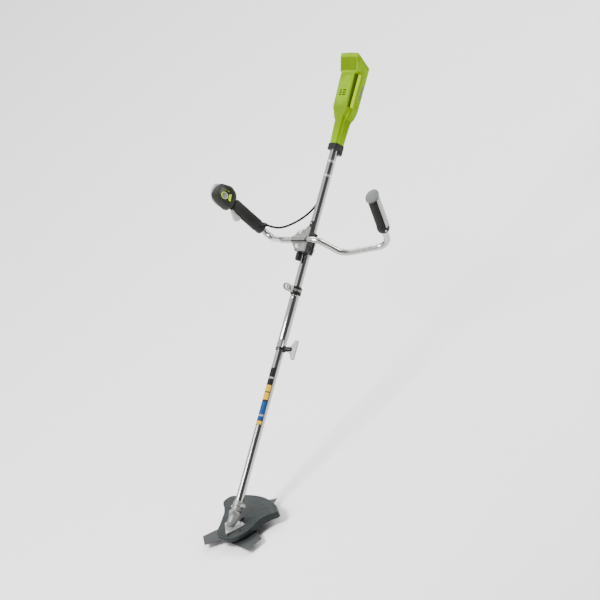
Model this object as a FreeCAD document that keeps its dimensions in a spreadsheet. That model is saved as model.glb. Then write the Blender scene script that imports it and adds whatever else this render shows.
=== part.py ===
import FreeCAD, Part
import math
import os

import Sketcher
from FreeCAD import Placement, Rotation, Vector

# A cordless brush cutter with a rear motor, a split shaft, bullhorn handlebars and a three-tooth blade.
# Row frame: +X to the user's left, +Y back towards the user, +Z up along the blade's spindle, with the
# origin at the centre of the harness eye. Most pieces are drawn in the shaft's own frame: z along the
# shaft towards the motor, -y its upper side, and z = 0 at the harness clamp.

# ---- driving dimensions, in millimetres and degrees ----
SIZES = {
    "shaft_rise": 30,
    "tube_od": 26,
    "tube_wall": 1.5,
    "running_gap": 0.05,
    "upper_tube_low": -128,
    "upper_tube_top": 560,
    "lower_tube_top": -132,
    "lower_tube_low": -714,
    "head_centre": -742,
    "sleeve_low": -198,
    "sleeve_top": -17,
    "sleeve_od": 29.4,
    "knob_height": -190,
    "knob_turn": 16,
    "button_height": -172,
    "eye_reach": 46,
    "eye_radius": 5.5,
    "lug_gap": 2,
    "lug_thick": 2,
    "band_width": 24,
    "bush_radius": 15,
    "band_radius": 17,
    "bar_od": 20,
    "bar_bore": 16,
    "bar_reach": 38,
    "bar_height": 156,
    "bracket_low": 122,
    "bracket_top": 190,
    "bracket_half": 20,
    "cap_width": 62,
    "cap_length": 81,
    "cap_thick": 7,
    "cap_bolt_step": 23,
    "grip_radius": 20,
    "grip_length": 120,
    "head_thick": 34,
    "cable_od": 7,
    "collar_low": 455,
    "neck_low": 487,
    "hood_front_top": 775,
    "hood_back_top": 742,
    "housing_half": 39.6,
    "housing_back": 21.5,
    "hood_front": 46,
    "shell_wall": 2.5,
    "drive_od": 8,
    "drive_square": 6,
    "pinion_teeth": 15,
    "gear_teeth": 21,
    "cone_length": 17,
    "tooth_keep": 0.65,
    "spindle_od": 10,
    "case_radius": 20,
    "case_top": 25,
    "guard_top": -20,
    "guard_wall": 3,
    "guard_low": -43,
    "guard_ring": 79,
    "blade_od": 300,
    "blade_thick": 1.8,
    "blade_level": -49,
    "blade_bore": 20,
}

doc = FreeCAD.newDocument("brush_cutter")
sheet = doc.addObject("Spreadsheet::Sheet", "dims")
for row, (alias, value) in enumerate(SIZES.items(), start=1):
    sheet.set("A%d" % row, alias)
    sheet.set("B%d" % row, str(value))
    sheet.setAlias("B%d" % row, alias)
doc.recompute()

X_AXIS = Vector(1, 0, 0)
Y_AXIS = Vector(0, 1, 0)
Z_AXIS = Vector(0, 0, 1)
parts = []


def size(alias):
    """A driving dimension, read back from the sheet."""
    return float(getattr(sheet, alias))


TUBE_R = size("tube_od") / 2
TUBE_BORE_R = TUBE_R - size("tube_wall")
BAR_R = size("bar_od") / 2
GRIP_R = size("grip_radius")
GAP = size("running_gap")
DRIVE_R = size("drive_od") / 2
SPINDLE_R = size("spindle_od") / 2

# ---- frames ----
LEAN = Rotation(X_AXIS, size("shaft_rise") - 90)
EYE = LEAN.multVec(Vector(0, -size("eye_reach"), 0))
SHAFT = Placement(-EYE, LEAN)
HEAD = Placement(SHAFT.multVec(Vector(0, 0, size("head_centre"))), Rotation())
BAR = SHAFT * Placement(Vector(0, -size("bar_reach"), size("bar_height")), Rotation())
HANDLE_FOOT = Vector(271, 75, 66)
HANDLE_UP = Vector(0.356, -0.860, 0.369)


def handle_frame(side):
    """Frame of a hand grip: z up the grip, x to its finger side, y to the user's left, from its lower end."""
    up = Vector(side * HANDLE_UP.x, HANDLE_UP.y, HANDLE_UP.z).normalize()
    fingers = (Z_AXIS * -1 + up * up.z).normalize()
    foot = Vector(side * HANDLE_FOOT.x, HANDLE_FOOT.y, HANDLE_FOOT.z)
    return Placement(foot, Rotation(fingers, up.cross(fingers), up, "ZYX"))


RIGHT_HAND = BAR * handle_frame(-1)
LEFT_HAND = BAR * handle_frame(1)


# ---- helpers ----
def keep(obj, label, frame):
    """Registers a finished sub-part under its name, in its place."""
    obj.Label = label
    obj.Placement = frame
    parts.append(obj)
    return obj


def along(axis, start):
    """Placement that turns a primitive's z to axis and moves its foot to start."""
    return Placement(start, Rotation(Z_AXIS, axis))


def primitive(kind, place=None, **sizes):
    """A Part primitive whose sizes are expressions on the sheet, or plain numbers."""
    obj = doc.addObject("Part::" + kind, kind)
    for name, value in sizes.items():
        if isinstance(value, str):
            obj.setExpression(name, value)
        else:
            setattr(obj, name, value)
    if place:
        obj.Placement = place
    return obj


def cylinder(radius, height, place=None):
    return primitive("Cylinder", place, Radius=radius, Height=height)


def rod(radius, start, end):
    """Cylinder from point to point."""
    run = end - start
    return cylinder(radius, run.Length, along(run, start))


def rod_shape(radius, start, end):
    """The bare shape of a rod, for cutting a Part::Feature."""
    return Part.makeCylinder(radius, (end - start).Length, start, end - start)


def block(low, high):
    """Box between two opposite corners."""
    return primitive(
        "Box",
        Placement(Vector(*low), Rotation()),
        Length=high[0] - low[0],
        Width=high[1] - low[1],
        Height=high[2] - low[2],
    )


def cut(base, *tools):
    for tool in tools:
        result = doc.addObject("Part::Cut", "Cut")
        result.Base = base
        result.Tool = tool
        base = result
    return base


def fuse(*shapes):
    result = doc.addObject("Part::MultiFuse", "Fuse")
    result.Shapes = list(shapes)
    return result


def common(one, other):
    result = doc.addObject("Part::Common", "Common")
    result.Base = one
    result.Tool = other
    return result


def group(*shapes):
    """Separate solids that share one node."""
    result = doc.addObject("Part::Compound", "Group")
    result.Links = list(shapes)
    return result


def ring(outer, inner, height, place=None):
    """Hollow cylinder."""
    base = place or Placement()
    return cut(cylinder(outer, height, base), cylinder(inner, height, base))


def feature(shape, label, frame):
    """A sub-part whose shape comes from Part's own functions."""
    obj = doc.addObject("Part::Feature", label)
    obj.Shape = shape
    return keep(obj, label, frame)


def new_body(label, frame):
    body = doc.addObject("PartDesign::Body", label)
    return keep(body, label, frame)


def sketch(body, plane, offset=0):
    """Empty sketch on one of the body's origin planes, moved along the plane's normal."""
    drawn = body.newObject("Sketcher::SketchObject", "Sketch")
    support = [f for f in body.Origin.OriginFeatures if f.Role == plane][0]
    drawn.AttachmentSupport = (support, [""])
    drawn.MapMode = "FlatFace"
    drawn.AttachmentOffset = Placement(Vector(0, 0, offset), Rotation())
    return drawn


def polygon(drawn, points):
    corners = [Vector(x, y, 0) for x, y in points]
    for one, other in zip(corners, corners[1:] + corners[:1]):
        drawn.addGeometry(Part.LineSegment(one, other), False)


def circle(drawn, x, y, expression):
    """Circle whose radius is bound to the sheet."""
    index = drawn.addGeometry(Part.Circle(Vector(x, y, 0), Z_AXIS, 5), False)
    datum = drawn.addConstraint(Sketcher.Constraint("Radius", index, 5))
    drawn.setExpression("Constraints[%d]" % datum, expression)


def pad(body, drawn, length, kind="PartDesign::Pad"):
    made = body.newObject(kind, kind.split("::")[1])
    made.Profile = drawn
    if isinstance(length, str):
        made.setExpression("Length", length)
    else:
        made.Length = length
    return made


def revolved(label, frame, points):
    """Body turned from a half section of (radius, height) corners about its own z."""
    body = new_body(label, frame)
    drawn = sketch(body, "XZ_Plane")
    polygon(drawn, points)
    turned = body.newObject("PartDesign::Revolution", "Revolution")
    turned.Profile = drawn
    turned.ReferenceAxis = (drawn, ["V_Axis"])
    turned.Angle = 360
    return body


def rounded_path(points, radii):
    """Wire of straight runs joined by tangent arcs; radii has one value per inner point."""
    edges = []
    start = points[0]
    for before, corner, after, radius in zip(points, points[1:], points[2:], radii):
        back = (before - corner).normalize()
        ahead = (after - corner).normalize()
        half = back.getAngle(ahead) / 2
        reach = radius / math.tan(half)
        middle_way = (back + ahead).normalize()
        middle = corner + middle_way * (radius / math.sin(half) - radius)
        enter = corner + back * reach
        leave = corner + ahead * reach
        edges.append(Part.LineSegment(start, enter).toShape())
        edges.append(Part.Arc(enter, middle, leave).toShape())
        start = leave
    edges.append(Part.LineSegment(start, points[-1]).toShape())
    return Part.Wire(edges)


def swept(path, radius):
    """Round solid along a path of tangent runs and arcs."""
    first = path.Edges[0]
    start = first.valueAt(first.FirstParameter)
    way = first.tangentAt(first.FirstParameter)
    section = Part.Wire(Part.makeCircle(radius, start, way))
    return path.makePipeShell([section], True, True)


def rounded_outline(points, radius):
    """Closed flat wire through corner points (x, y, z), each corner an arc of one radius."""
    count = len(points)
    edges = []
    ends = []
    for i in range(count):
        corner = points[i]
        back = (points[i - 1] - corner).normalize()
        ahead = (points[(i + 1) % count] - corner).normalize()
        half = back.getAngle(ahead) / 2
        reach = radius / math.tan(half)
        middle = corner + (back + ahead).normalize() * (radius / math.sin(half) - radius)
        ends.append((corner + back * reach, middle, corner + ahead * reach))
    for i in range(count):
        enter, middle, leave = ends[i]
        edges.append(Part.Arc(enter, middle, leave).toShape())
        edges.append(Part.LineSegment(leave, ends[(i + 1) % count][0]).toShape())
    return Part.Wire(edges)


def slab(points, radius, low, high, axis=Y_AXIS):
    """Prism of a rounded outline, drawn flat at 'low' on axis and extruded to 'high'."""
    lifted = [p + axis * low for p in points]
    return Part.Face(rounded_outline(lifted, radius)).extrude(axis * (high - low))


# ---- shaft ----
def make_tubes():
    upper = ring(
        "dims.tube_od / 2",
        "dims.tube_od / 2 - dims.tube_wall",
        "dims.upper_tube_top - dims.upper_tube_low",
        Placement(Vector(0, 0, size("upper_tube_low")), Rotation()),
    )
    keep(upper, "upper_tube", SHAFT)

    lower = ring(
        "dims.tube_od / 2",
        "dims.tube_od / 2 - dims.tube_wall",
        "dims.lower_tube_top - dims.lower_tube_low",
        Placement(Vector(0, 0, size("lower_tube_low")), Rotation()),
    )
    slot_half = 3.2
    slot = block(
        (-TUBE_R - 2, -slot_half, size("button_height") - slot_half),
        (-TUBE_BORE_R + 3, slot_half, size("lower_tube_top") + 2),
    )
    keep(cut(lower, slot), "lower_tube", SHAFT)


def make_label():
    """Plain wrap on the upper side of the lower tube, a 120 degree arc."""
    low, high, film = -445, -257, 0.35
    wrap = primitive(
        "Cylinder",
        Placement(Vector(0, 0, low), Rotation(Z_AXIS, -150)),
        Radius=TUBE_R + film,
        Height=high - low,
        Angle=120,
    )
    bore = cylinder("dims.tube_od / 2", high - low, Placement(Vector(0, 0, low), Rotation()))
    keep(cut(wrap, bore), "label_strip", SHAFT)


def knob_axis():
    turn = math.radians(size("knob_turn"))
    return Vector(math.cos(turn), math.sin(turn), 0)


def make_coupler():
    """Sleeve that clamps the lower tube, with its wing knob and its key button."""
    way = knob_axis()
    foot = Vector(0, 0, size("knob_height"))
    boss_r, boss_top, screw_r = 8, 24, 3
    sleeve = cylinder(
        "dims.sleeve_od / 2",
        "dims.sleeve_top - dims.sleeve_low",
        Placement(Vector(0, 0, size("sleeve_low")), Rotation()),
    )
    lip = cylinder(
        size("sleeve_od") / 2 + 1.2, 10, Placement(Vector(0, 0, size("sleeve_low")), Rotation())
    )
    boss = rod(boss_r, foot + way * 8, foot + way * boss_top)
    bore = cylinder(
        "dims.tube_od / 2 + dims.running_gap",
        "dims.sleeve_top - dims.sleeve_low",
        Placement(Vector(0, 0, size("sleeve_low")), Rotation()),
    )
    screw_hole = rod(screw_r + GAP, foot + way * 8, foot + way * (boss_top + 1))
    button_r = 2.9
    button_foot = Vector(0, 0, size("button_height"))
    button_hole = rod(button_r + GAP, button_foot - X_AXIS * 10, button_foot - X_AXIS * 20)
    keep(
        cut(fuse(sleeve, lip, boss), bore, screw_hole, button_hole),
        "coupler_sleeve",
        SHAFT,
    )

    stem = rod(screw_r, foot + way * (TUBE_R + 0.6), foot + way * 30)
    hub = rod(8.5, foot + way * (boss_top + 0.4), foot + way * 40)
    wing_half, wing_thick, wing_low, wing_top = 31.5, 8, 28, 56
    wings = doc.addObject("Part::Feature", "Wings")
    side = Z_AXIS.cross(way) * (wing_thick / 2)
    corners = [
        foot + way * wing_low + Z_AXIS * 7,
        foot + way * (wing_low + 11) + Z_AXIS * 15,
        foot + way * (wing_top - 11) + Z_AXIS * wing_half,
        foot + way * wing_top + Z_AXIS * wing_half,
        foot + way * wing_top - Z_AXIS * wing_half,
        foot + way * (wing_top - 11) - Z_AXIS * wing_half,
        foot + way * (wing_low + 11) - Z_AXIS * 15,
        foot + way * wing_low - Z_AXIS * 7,
    ]
    outline = Part.makePolygon([c - side for c in corners + corners[:1]])
    wings.Shape = Part.Face(outline).extrude(side * 2)
    keep(fuse(stem, hub, wings), "coupler_knob", SHAFT)

    plunger = rod(button_r, button_foot - X_AXIS * 11.6, button_foot - X_AXIS * 18.4)
    cap = rod(4.5, button_foot - X_AXIS * 18.4, button_foot - X_AXIS * 20.6)
    keep(fuse(plunger, cap), "release_button", SHAFT)


def make_harness_clamp():
    half = size("band_width") / 2
    base = Placement(Vector(0, 0, -half - 1), Rotation())
    keep(
        ring("dims.bush_radius", "dims.tube_od / 2", "dims.band_width + 2", base),
        "harness_bush",
        SHAFT,
    )
    near, far = size("lug_gap") / 2, size("lug_gap") / 2 + size("lug_thick")
    reach = size("eye_reach")
    pieces = [
        cylinder(
            "dims.band_radius",
            "dims.band_width",
            Placement(Vector(0, 0, -half), Rotation()),
        )
    ]
    for side in (-1, 1):
        inner, outer = sorted((side * near, side * far))
        pieces.append(block((inner, -reach, -11), (outer, -12, 11)))
        pieces.append(rod(11, Vector(inner, -reach, 0), Vector(outer, -reach, 0)))
    bore = cylinder("dims.bush_radius", "dims.band_width", Placement(Vector(0, 0, -half), Rotation()))
    slit = block((-near, -reach - 20, -half), (near, -8, half))
    eye = primitive(
        "Cylinder",
        along(X_AXIS, Vector(-20, -reach, 0)),
        Radius="dims.eye_radius",
        Height=40,
    )
    bolt_r, bolt_y = 2.5, -25
    bolt_hole = rod(bolt_r, Vector(-20, bolt_y, 0), Vector(20, bolt_y, 0))
    keep(cut(fuse(*pieces), bore, slit, eye, bolt_hole), "harness_band", SHAFT)

    shank = rod(bolt_r, Vector(-9, bolt_y, 0), Vector(9, bolt_y, 0))
    head = rod(4.6, Vector(far, bolt_y, 0), Vector(far + 4, bolt_y, 0))
    nut = primitive(
        "Prism",
        along(X_AXIS, Vector(-far - 4, bolt_y, 0)),
        Polygon=6,
        Circumradius=5,
        Height=4,
    )
    keep(fuse(shank, head, nut), "harness_bolt", SHAFT)


# ---- handlebar bracket ----
def make_bracket():
    low, top, half = size("bracket_low"), size("bracket_top"), size("bracket_half")
    reach, middle = size("bar_reach"), size("bar_height")
    length = top - low
    round_r = 18.5
    bar_hole_r = BAR_R + GAP
    screw_r, screw_head_r = 2, 3.6
    screw_places = [
        (side * 16.5, height) for side in (-1, 1) for height in (low + 12, top - 12)
    ]
    knob_y, knob_r, stem_r = -28, 10.5, 3

    def tube_bore():
        return cylinder("dims.tube_od / 2", length, Placement(Vector(0, 0, low), Rotation()))

    def back_screw_holes():
        shanks = [rod(screw_r, Vector(x, -12, z), Vector(x, 30, z)) for x, z in screw_places]
        heads = [rod(screw_head_r + 0.1, Vector(x, 9, z), Vector(x, 30, z)) for x, z in screw_places]
        return shanks + heads

    seat = fuse(
        common(
            cylinder(round_r, length, Placement(Vector(0, 0, low), Rotation())),
            block((-round_r, -round_r, low), (round_r, -0.5, top)),
        ),
        block((-half, -reach, low), (half, -0.5, top)),
    )
    bar_hole = rod(bar_hole_r, Vector(-60, -reach, middle), Vector(60, -reach, middle))
    bolt_holes = [
        rod(3, Vector(0, -reach - 2, middle + step), Vector(0, -reach + 20, middle + step))
        for step in (-size("cap_bolt_step"), size("cap_bolt_step"))
    ]
    stem_hole = rod(stem_r + GAP, Vector(0, knob_y, low - 2), Vector(0, knob_y, low + 8))
    keep(
        cut(seat, tube_bore(), bar_hole, stem_hole, *bolt_holes, *back_screw_holes()),
        "bracket_base",
        SHAFT,
    )

    back = common(
        fuse(
            cylinder(round_r, length, Placement(Vector(0, 0, low), Rotation())),
            block((-half, 0.5, low), (half, 9, top)),
        ),
        block((-half, 0.5, low), (half, round_r, top)),
    )
    keep(cut(back, tube_bore(), *back_screw_holes()), "bracket_clamp", SHAFT)

    wide, long = size("cap_width") / 2, size("cap_length") / 2
    cap = new_body("bracket_cap", BAR)
    plate = sketch(cap, "XZ_Plane", 0.4)
    polygon(
        plate,
        [
            (wide, -long + 2),
            (wide, long + 2),
            (wide - 12, long + 2),
            (wide - 14, long - 7),
            (-10, long - 10),
            (-wide + 4, 9),
            (-wide, 0),
            (-wide + 6, -14),
            (-11, -long + 10),
            (4, -long + 2),
        ],
    )
    pad(cap, plate, "dims.cap_thick")
    ridge = sketch(cap, "YZ_Plane", -wide + 2)
    crown = BAR_R + 4.5
    ridge.addGeometry(
        Part.ArcOfCircle(Part.Circle(Vector(0, 0, 0), Z_AXIS, crown), math.pi / 2, 3 * math.pi / 2),
        False,
    )
    ridge.addGeometry(Part.LineSegment(Vector(0, -crown, 0), Vector(0, crown, 0)), False)
    pad(cap, ridge, 2 * wide - 4)
    groove = sketch(cap, "YZ_Plane", -wide - 2)
    circle(groove, 0, 0, "dims.bar_od / 2 + dims.running_gap")
    doc.recompute()
    channel = pad(cap, groove, 2 * wide + 4, "PartDesign::Pocket")
    channel.Reversed = True
    seat_gap = sketch(cap, "YZ_Plane", -wide - 2)
    polygon(seat_gap, [(-0.4, -long - 1), (20, -long - 1), (20, long + 3), (-0.4, long + 3)])
    trim = pad(cap, seat_gap, 2 * wide + 4, "PartDesign::Pocket")
    trim.Reversed = True
    holes = sketch(cap, "XZ_Plane", 60)
    for step in (-size("cap_bolt_step"), size("cap_bolt_step")):
        circle(holes, 0, step, "3")
    drilled = pad(cap, holes, 80, "PartDesign::Pocket")
    cap.Tip = drilled

    strip_low, strip_top, strip_r = top + 0.5, 228, TUBE_R + 2.4
    strip = primitive(
        "Cylinder",
        Placement(Vector(0, 0, strip_low), Rotation(Z_AXIS, -125)),
        Radius=strip_r,
        Height=strip_top - strip_low,
        Angle=70,
    )
    keep(
        cut(strip, cylinder("dims.tube_od / 2", 60, Placement(Vector(0, 0, top), Rotation()))),
        "bracket_strip",
        SHAFT,
    )

    pieces = []
    face_y = -reach - 0.4 - size("cap_thick")
    for step in (-size("cap_bolt_step"), size("cap_bolt_step")):
        shank = rod(3, Vector(0, face_y, middle + step), Vector(0, -reach + 19, middle + step))
        head = rod(6.5, Vector(0, face_y - 5, middle + step), Vector(0, face_y, middle + step))
        socket = primitive(
            "Prism",
            along(Y_AXIS, Vector(0, face_y - 6, middle + step)),
            Polygon=6,
            Circumradius=3,
            Height=3.5,
        )
        pieces.append(cut(fuse(shank, head), socket))
    for height in (strip_low + 9, strip_top - 8):
        pieces.append(rod(3.2, Vector(0, -strip_r - 2.6, height), Vector(0, -strip_r, height)))
    for x, z in screw_places:
        shank = rod(screw_r, Vector(x, -10, z), Vector(x, 9, z))
        pieces.append(fuse(shank, rod(screw_head_r, Vector(x, 9, z), Vector(x, 12.5, z))))
    keep(group(*pieces), "bracket_bolts", SHAFT)

    knob_top, knob_low = low - 3, low - 31
    knob = [
        rod(stem_r, Vector(0, knob_y, knob_top - 2), Vector(0, knob_y, low + 6)),
        rod(knob_r - 1.5, Vector(0, knob_y, knob_low), Vector(0, knob_y, knob_top)),
    ]
    lobes = 6
    for lobe in range(lobes):
        turn = 2 * math.pi * lobe / lobes
        x, y = 7 * math.cos(turn), knob_y + 7 * math.sin(turn)
        knob.append(rod(3.5, Vector(x, y, knob_low + 3), Vector(x, y, knob_top - 1)))
    keep(fuse(*knob), "bracket_knob", SHAFT)


# ---- handlebar ----
def make_handle_bar():
    """One bent tube, from inside the throttle handle to inside the left grip."""
    right, left = handle_frame(-1), handle_frame(1)
    points = [
        right.multVec(Vector(0, 0, 112)),
        right.multVec(Vector(0, 0, -45)),
        Vector(-80, 0, 0),
        Vector(73, 0, 0),
        Vector(115, 80, -16),
        left.multVec(Vector(0, 0, -80)),
        left.multVec(Vector(0, 0, 132)),
    ]
    path = rounded_path(points, [32, 60, 40, 60, 40])
    outer = swept(path, size("bar_od") / 2)
    inner = swept(path, size("bar_bore") / 2)
    feature(outer.cut(inner), "handle_bar", BAR)


CABLE_POINTS = [
    Vector(-252.0, 35.6, 235.0),
    Vector(-226, 39.5, 229),
    Vector(-186, 38.5, 226),
    Vector(-130, 35, 240),
    Vector(-66, 26, 268),
    Vector(-25, 15.5, 303),
    Vector(-12.9, 11.2, 350),
    Vector(-12.9, 11.2, 455),
]


def make_throttle_cable():
    """Lead from the throttle handle to the collar, hanging in one long bend, then straight up the tube."""
    radii = []
    for before, corner, after in zip(CABLE_POINTS, CABLE_POINTS[1:], CABLE_POINTS[2:]):
        turn = math.pi - (before - corner).getAngle(after - corner)
        shorter = min((before - corner).Length, (after - corner).Length)
        radii.append(0.45 * shorter / math.tan(turn / 2))
    path = rounded_path(CABLE_POINTS, radii)
    radius = size("cable_od") / 2
    tube = swept(path, radius)
    feature(tube, "throttle_cable", SHAFT)
    print("cable arc radii, mm:", [round(r) for r in radii])
    print("cable length %.1f mm" % path.Length)
    print("cable volume over section times length %.4f" % (
        tube.Volume / (math.pi * radius * radius * path.Length)))

    clips = []
    lead = CABLE_POINTS[-1]
    for height in (378, 425):
        base = Placement(Vector(0, 0, height), Rotation())
        lead_base = Placement(Vector(lead.x, lead.y, height), Rotation())
        clips.append(
            cut(
                fuse(cylinder(TUBE_R + 1.3, 7, base), cylinder(radius + 1.3, 7, lead_base)),
                cylinder("dims.tube_od / 2", 7, base),
                cylinder("dims.cable_od / 2", 7, lead_base),
            )
        )
    keep(group(*clips), "cable_clips", SHAFT)


def make_throttle_handle():
    """Right hand's handle: ferrule, two grip shells, control head, keys, trigger and lock-off."""
    frame = RIGHT_HAND
    stub_way = (CABLE_POINTS[1] - CABLE_POINTS[0]).normalize()
    local = (SHAFT.inverse() * frame).inverse()
    stub_end = local.multVec(CABLE_POINTS[0])
    stub_dir = local.Rotation.multVec(stub_way)
    ferrule_low, ferrule_top = -4, 18
    flare = doc.addObject("Part::Feature", "Flare")
    section = [(14, ferrule_low), (18, 2), (19, 10), (18.5, ferrule_top), (BAR_R, ferrule_top),
               (BAR_R, ferrule_low)]
    corners = [Vector(r, 0, z) for r, z in section]
    flare.Shape = Part.Face(Part.makePolygon(corners + corners[:1])).revolve(Vector(), Z_AXIS, 360)
    stub = rod(5.5, stub_end - stub_dir * 14, stub_end)
    bore = cylinder("dims.bar_od / 2", 40, Placement(Vector(0, 0, ferrule_low - 5), Rotation()))
    keep(cut(fuse(flare, stub), bore), "throttle_ferrule", frame)

    top = size("grip_length")
    slot_half, slot_low = 7, 71
    pin = Vector(15.5, 0, 109.5)
    pin_r = 1.5
    for name, low_y, high_y in (
        ("throttle_grip_inner", 0, GRIP_R + 1),
        ("throttle_grip_outer", -GRIP_R - 1, 0),
    ):
        round_grip = cylinder(
            "dims.grip_radius", top - ferrule_top, Placement(Vector(0, 0, ferrule_top), Rotation())
        )
        half = common(round_grip, block((-30, low_y, 0), (30, high_y, top)))
        bore = cylinder("dims.bar_od / 2", top, Placement(Vector(), Rotation()))
        slot = block((BAR_R - 2, -slot_half, slot_low), (GRIP_R + 8, slot_half, top + 2))
        pin_hole = rod(pin_r, pin - Y_AXIS * 12, pin + Y_AXIS * 12)
        keep(cut(half, bore, slot, pin_hole), name, frame)
    keep(rod(pin_r, pin - Y_AXIS * 11, pin + Y_AXIS * 11), "trigger_pin", frame)

    trigger = new_body("trigger", frame)
    wedge = sketch(trigger, "XZ_Plane", -5.5)
    polygon(
        wedge,
        [(19, 75), (30, 74), (41, 83), (39, 90), (25, 114), (12.5, 114), (12.5, 106), (19, 101)],
    )
    pad(trigger, wedge, 11)
    pivot = sketch(trigger, "XZ_Plane", -8)
    circle(pivot, pin.x, pin.z, "%g + dims.running_gap" % pin_r)
    doc.recompute()
    pad(trigger, pivot, 16, "PartDesign::Pocket").Reversed = True

    head = frame * Placement(Vector(), Rotation(Z_AXIS, 17.5))
    back, front = -size("head_thick") / 2 - 1, size("head_thick") / 2 - 1
    outline = [(-17, 198), (-39, 157), (-27, 131), (-6, 120.5), (26, 120.5), (35, 134), (33, 170),
               (24, 196)]
    corners = [Vector(x, 0, z) for x, z in outline]
    shell = slab(corners, 8, back, front)
    centre = Vector(5, 0, 158)
    inner = [centre + (c - centre) * 0.88 for c in corners]
    shell = shell.cut(slab(inner, 6, back + 3, front - 3))
    button, key = Vector(11.5, 0, 164), Vector(4.5, 0, 146)
    panel_top = front + 1.5
    face_outline = [(-14, 189), (-30, 157), (-20, 136), (-2, 129), (23, 129), (27, 138), (25, 168),
                    (18, 187)]
    face = [Vector(x, 0, z) for x, z in face_outline]
    button_r, key_half, key_long = 7.5, 4, 13
    panel = slab(face, 6, front, panel_top)
    way = Vector(0.94, 0, -0.34)
    across = way.cross(Y_AXIS)
    key_outline = [
        key + way * key_long + across * key_half,
        key + way * (key_long - 4) - across * key_half,
        key - way * (key_long - 4) - across * key_half,
        key - way * key_long + across * key_half,
    ]
    button_hole = Part.makeCylinder(button_r + 0.4, 20, button + Y_AXIS * (front - 8), Y_AXIS)
    key_pocket = [key + (c - key) * 1.08 for c in key_outline]
    key_hole = slab(key_pocket, 1, front - 8, front + 12)
    feature(shell.cut(button_hole).cut(key_hole), "throttle_head", head)
    feature(panel.cut(button_hole).cut(key_hole), "control_panel", head)
    feature(
        Part.makeCylinder(button_r, 6, button + Y_AXIS * (panel_top - 4), Y_AXIS),
        "power_button",
        head,
    )
    feature(slab(key_outline, 1, panel_top - 4, panel_top + 1.6), "mode_key", head)

    paddle = [(0, 200), (-34, 202), (-46, 180), (-27, 138), (24, 138), (28, 165), (24, 182)]
    paddle_corners = [Vector(x, 0, z) for x, z in paddle]
    paddle_gap, paddle_thick = 5, 6
    lever = slab(paddle_corners, 8, back - paddle_gap - paddle_thick, back - paddle_gap)
    hinge_r, hinge_half, hinge_z = 2.2, 8, 140.2
    hinge = Vector(-hinge_half, back - 0.1 - hinge_r, hinge_z)
    barrel = Part.makeCylinder(hinge_r, 2 * hinge_half, hinge, X_AXIS)
    web_depth = paddle_gap - 0.1 - hinge_r
    web_foot = Vector(-hinge_half, back - paddle_gap, hinge_z - hinge_r)
    web = Part.makeBox(2 * hinge_half, web_depth, 2 * hinge_r, web_foot)
    feature(lever.fuse([barrel, web]), "lockout_lever", head)


def make_left_handle():
    """Left hand's grip: ferrule, ribbed rubber, outer strip, rim and end cap."""
    frame = LEFT_HAND
    low, top, cap_level = -10, 14, 144
    revolved(
        "left_ferrule",
        frame,
        [(BAR_R, low), (14, low), (19, low + 5), (20.5, 2), (20.5, top - 4), (19, top), (BAR_R, top)],
    )
    ribs = []
    depth, step = 0.8, 5.0
    height = top
    while height + step < cap_level - 2:
        ribs += [(19, height), (19, height + step - 1.6), (19 - depth, height + step - 1.2),
                 (19 - depth, height + step - 0.2)]
        height += step
    ribs += [(19, height), (19, cap_level), (BAR_R, cap_level), (BAR_R, top)]
    revolved("left_grip", frame, ribs)
    strip = primitive(
        "Cylinder",
        Placement(Vector(0, 0, top + 0.5), Rotation(Z_AXIS, 62)),
        Radius=22,
        Height=cap_level - top - 0.5,
        Angle=56,
    )
    keep(
        cut(strip, cylinder(19, 160, Placement(Vector(), Rotation()))),
        "left_grip_strip",
        frame,
    )
    rim_thick, cap_thick = 3, 7
    long_r, short_r = 28, 20.5
    oval = Part.Ellipse(Vector(0, 0, cap_level), long_r - 1.5, short_r - 1.5)
    rim = Part.Face(Part.Wire(oval.toShape())).extrude(Z_AXIS * rim_thick)
    feature(rim, "left_cap_rim", frame)
    cap_oval = Part.Ellipse(Vector(0, 0, cap_level + rim_thick), long_r, short_r)
    cap = Part.Face(Part.Wire(cap_oval.toShape())).extrude(Z_AXIS * cap_thick)
    crown = cap_level + rim_thick + cap_thick
    edges = [e for e in cap.Edges if abs(e.CenterOfMass.z - crown) < 0.1]
    feature(cap.makeFillet(4, edges), "left_end_cap", frame)

    screws = []
    for side in (-1, 1):
        way = Vector(0, 0.75, 0) + X_AXIS * (side * 0.66)
        way.normalize()
        screws.append(rod(2.4, way * 20.5 + Z_AXIS * 5, way * 21.8 + Z_AXIS * 5))
    keep(group(*screws), "grip_screws", frame)


# ---- motor housing ----
# Sections of the housing, from the neck up. Each has its level and the corners (x, y) of its left
# half from the front round to the back: ridge, lobe, groove, shoulder, side and back.
HOUSING_SECTIONS = [
    (487, [(3, -18.2), (10, -17), (14, -13), (15, -9), (18, -9.5), (20, -6.5), (20, 12), (14, 18)]),
    (562, [(3, -21.5), (11.5, -20), (16, -15.5), (17.2, -10.5), (20.8, -11), (22.8, -8), (22.8, 13), (16, 20)]),
    (576, [(3, -22.5), (13, -20.8), (18, -16.5), (20, -11.5), (29, -12.5), (33, -8), (33, 14), (26, 20.8)]),
    (600, [(3, -30), (27.5, -27.3), (32, -22), (32.8, -13.5), (36, -17.5), (39.6, -9), (39.6, 14.5), (32.6, 21.5)]),
    (712, [(3, -36), (26.5, -32.6), (31, -27.6), (31.8, -13.5), (36, -18), (39.6, -9), (39.6, 14.5), (32.6, 21.5)]),
    (720, [(3, -34), (33, -30.5), (39.2, -25), (39.3, -19), (39.5, -14), (39.6, -9), (39.6, 14.5), (32.6, 21.5)]),
    (763, [(3, -46), (36, -44.5), (39.4, -40), (39.5, -22), (39.5, -15), (39.6, -9), (39.6, 14.5), (32.6, 21.5)]),
    (790, [(3, -47.5), (37, -46), (39.5, -42.5), (39.5, -22), (39.5, -15), (39.6, -9), (39.6, 14.5), (32.6, 21.5)]),
]


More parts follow.
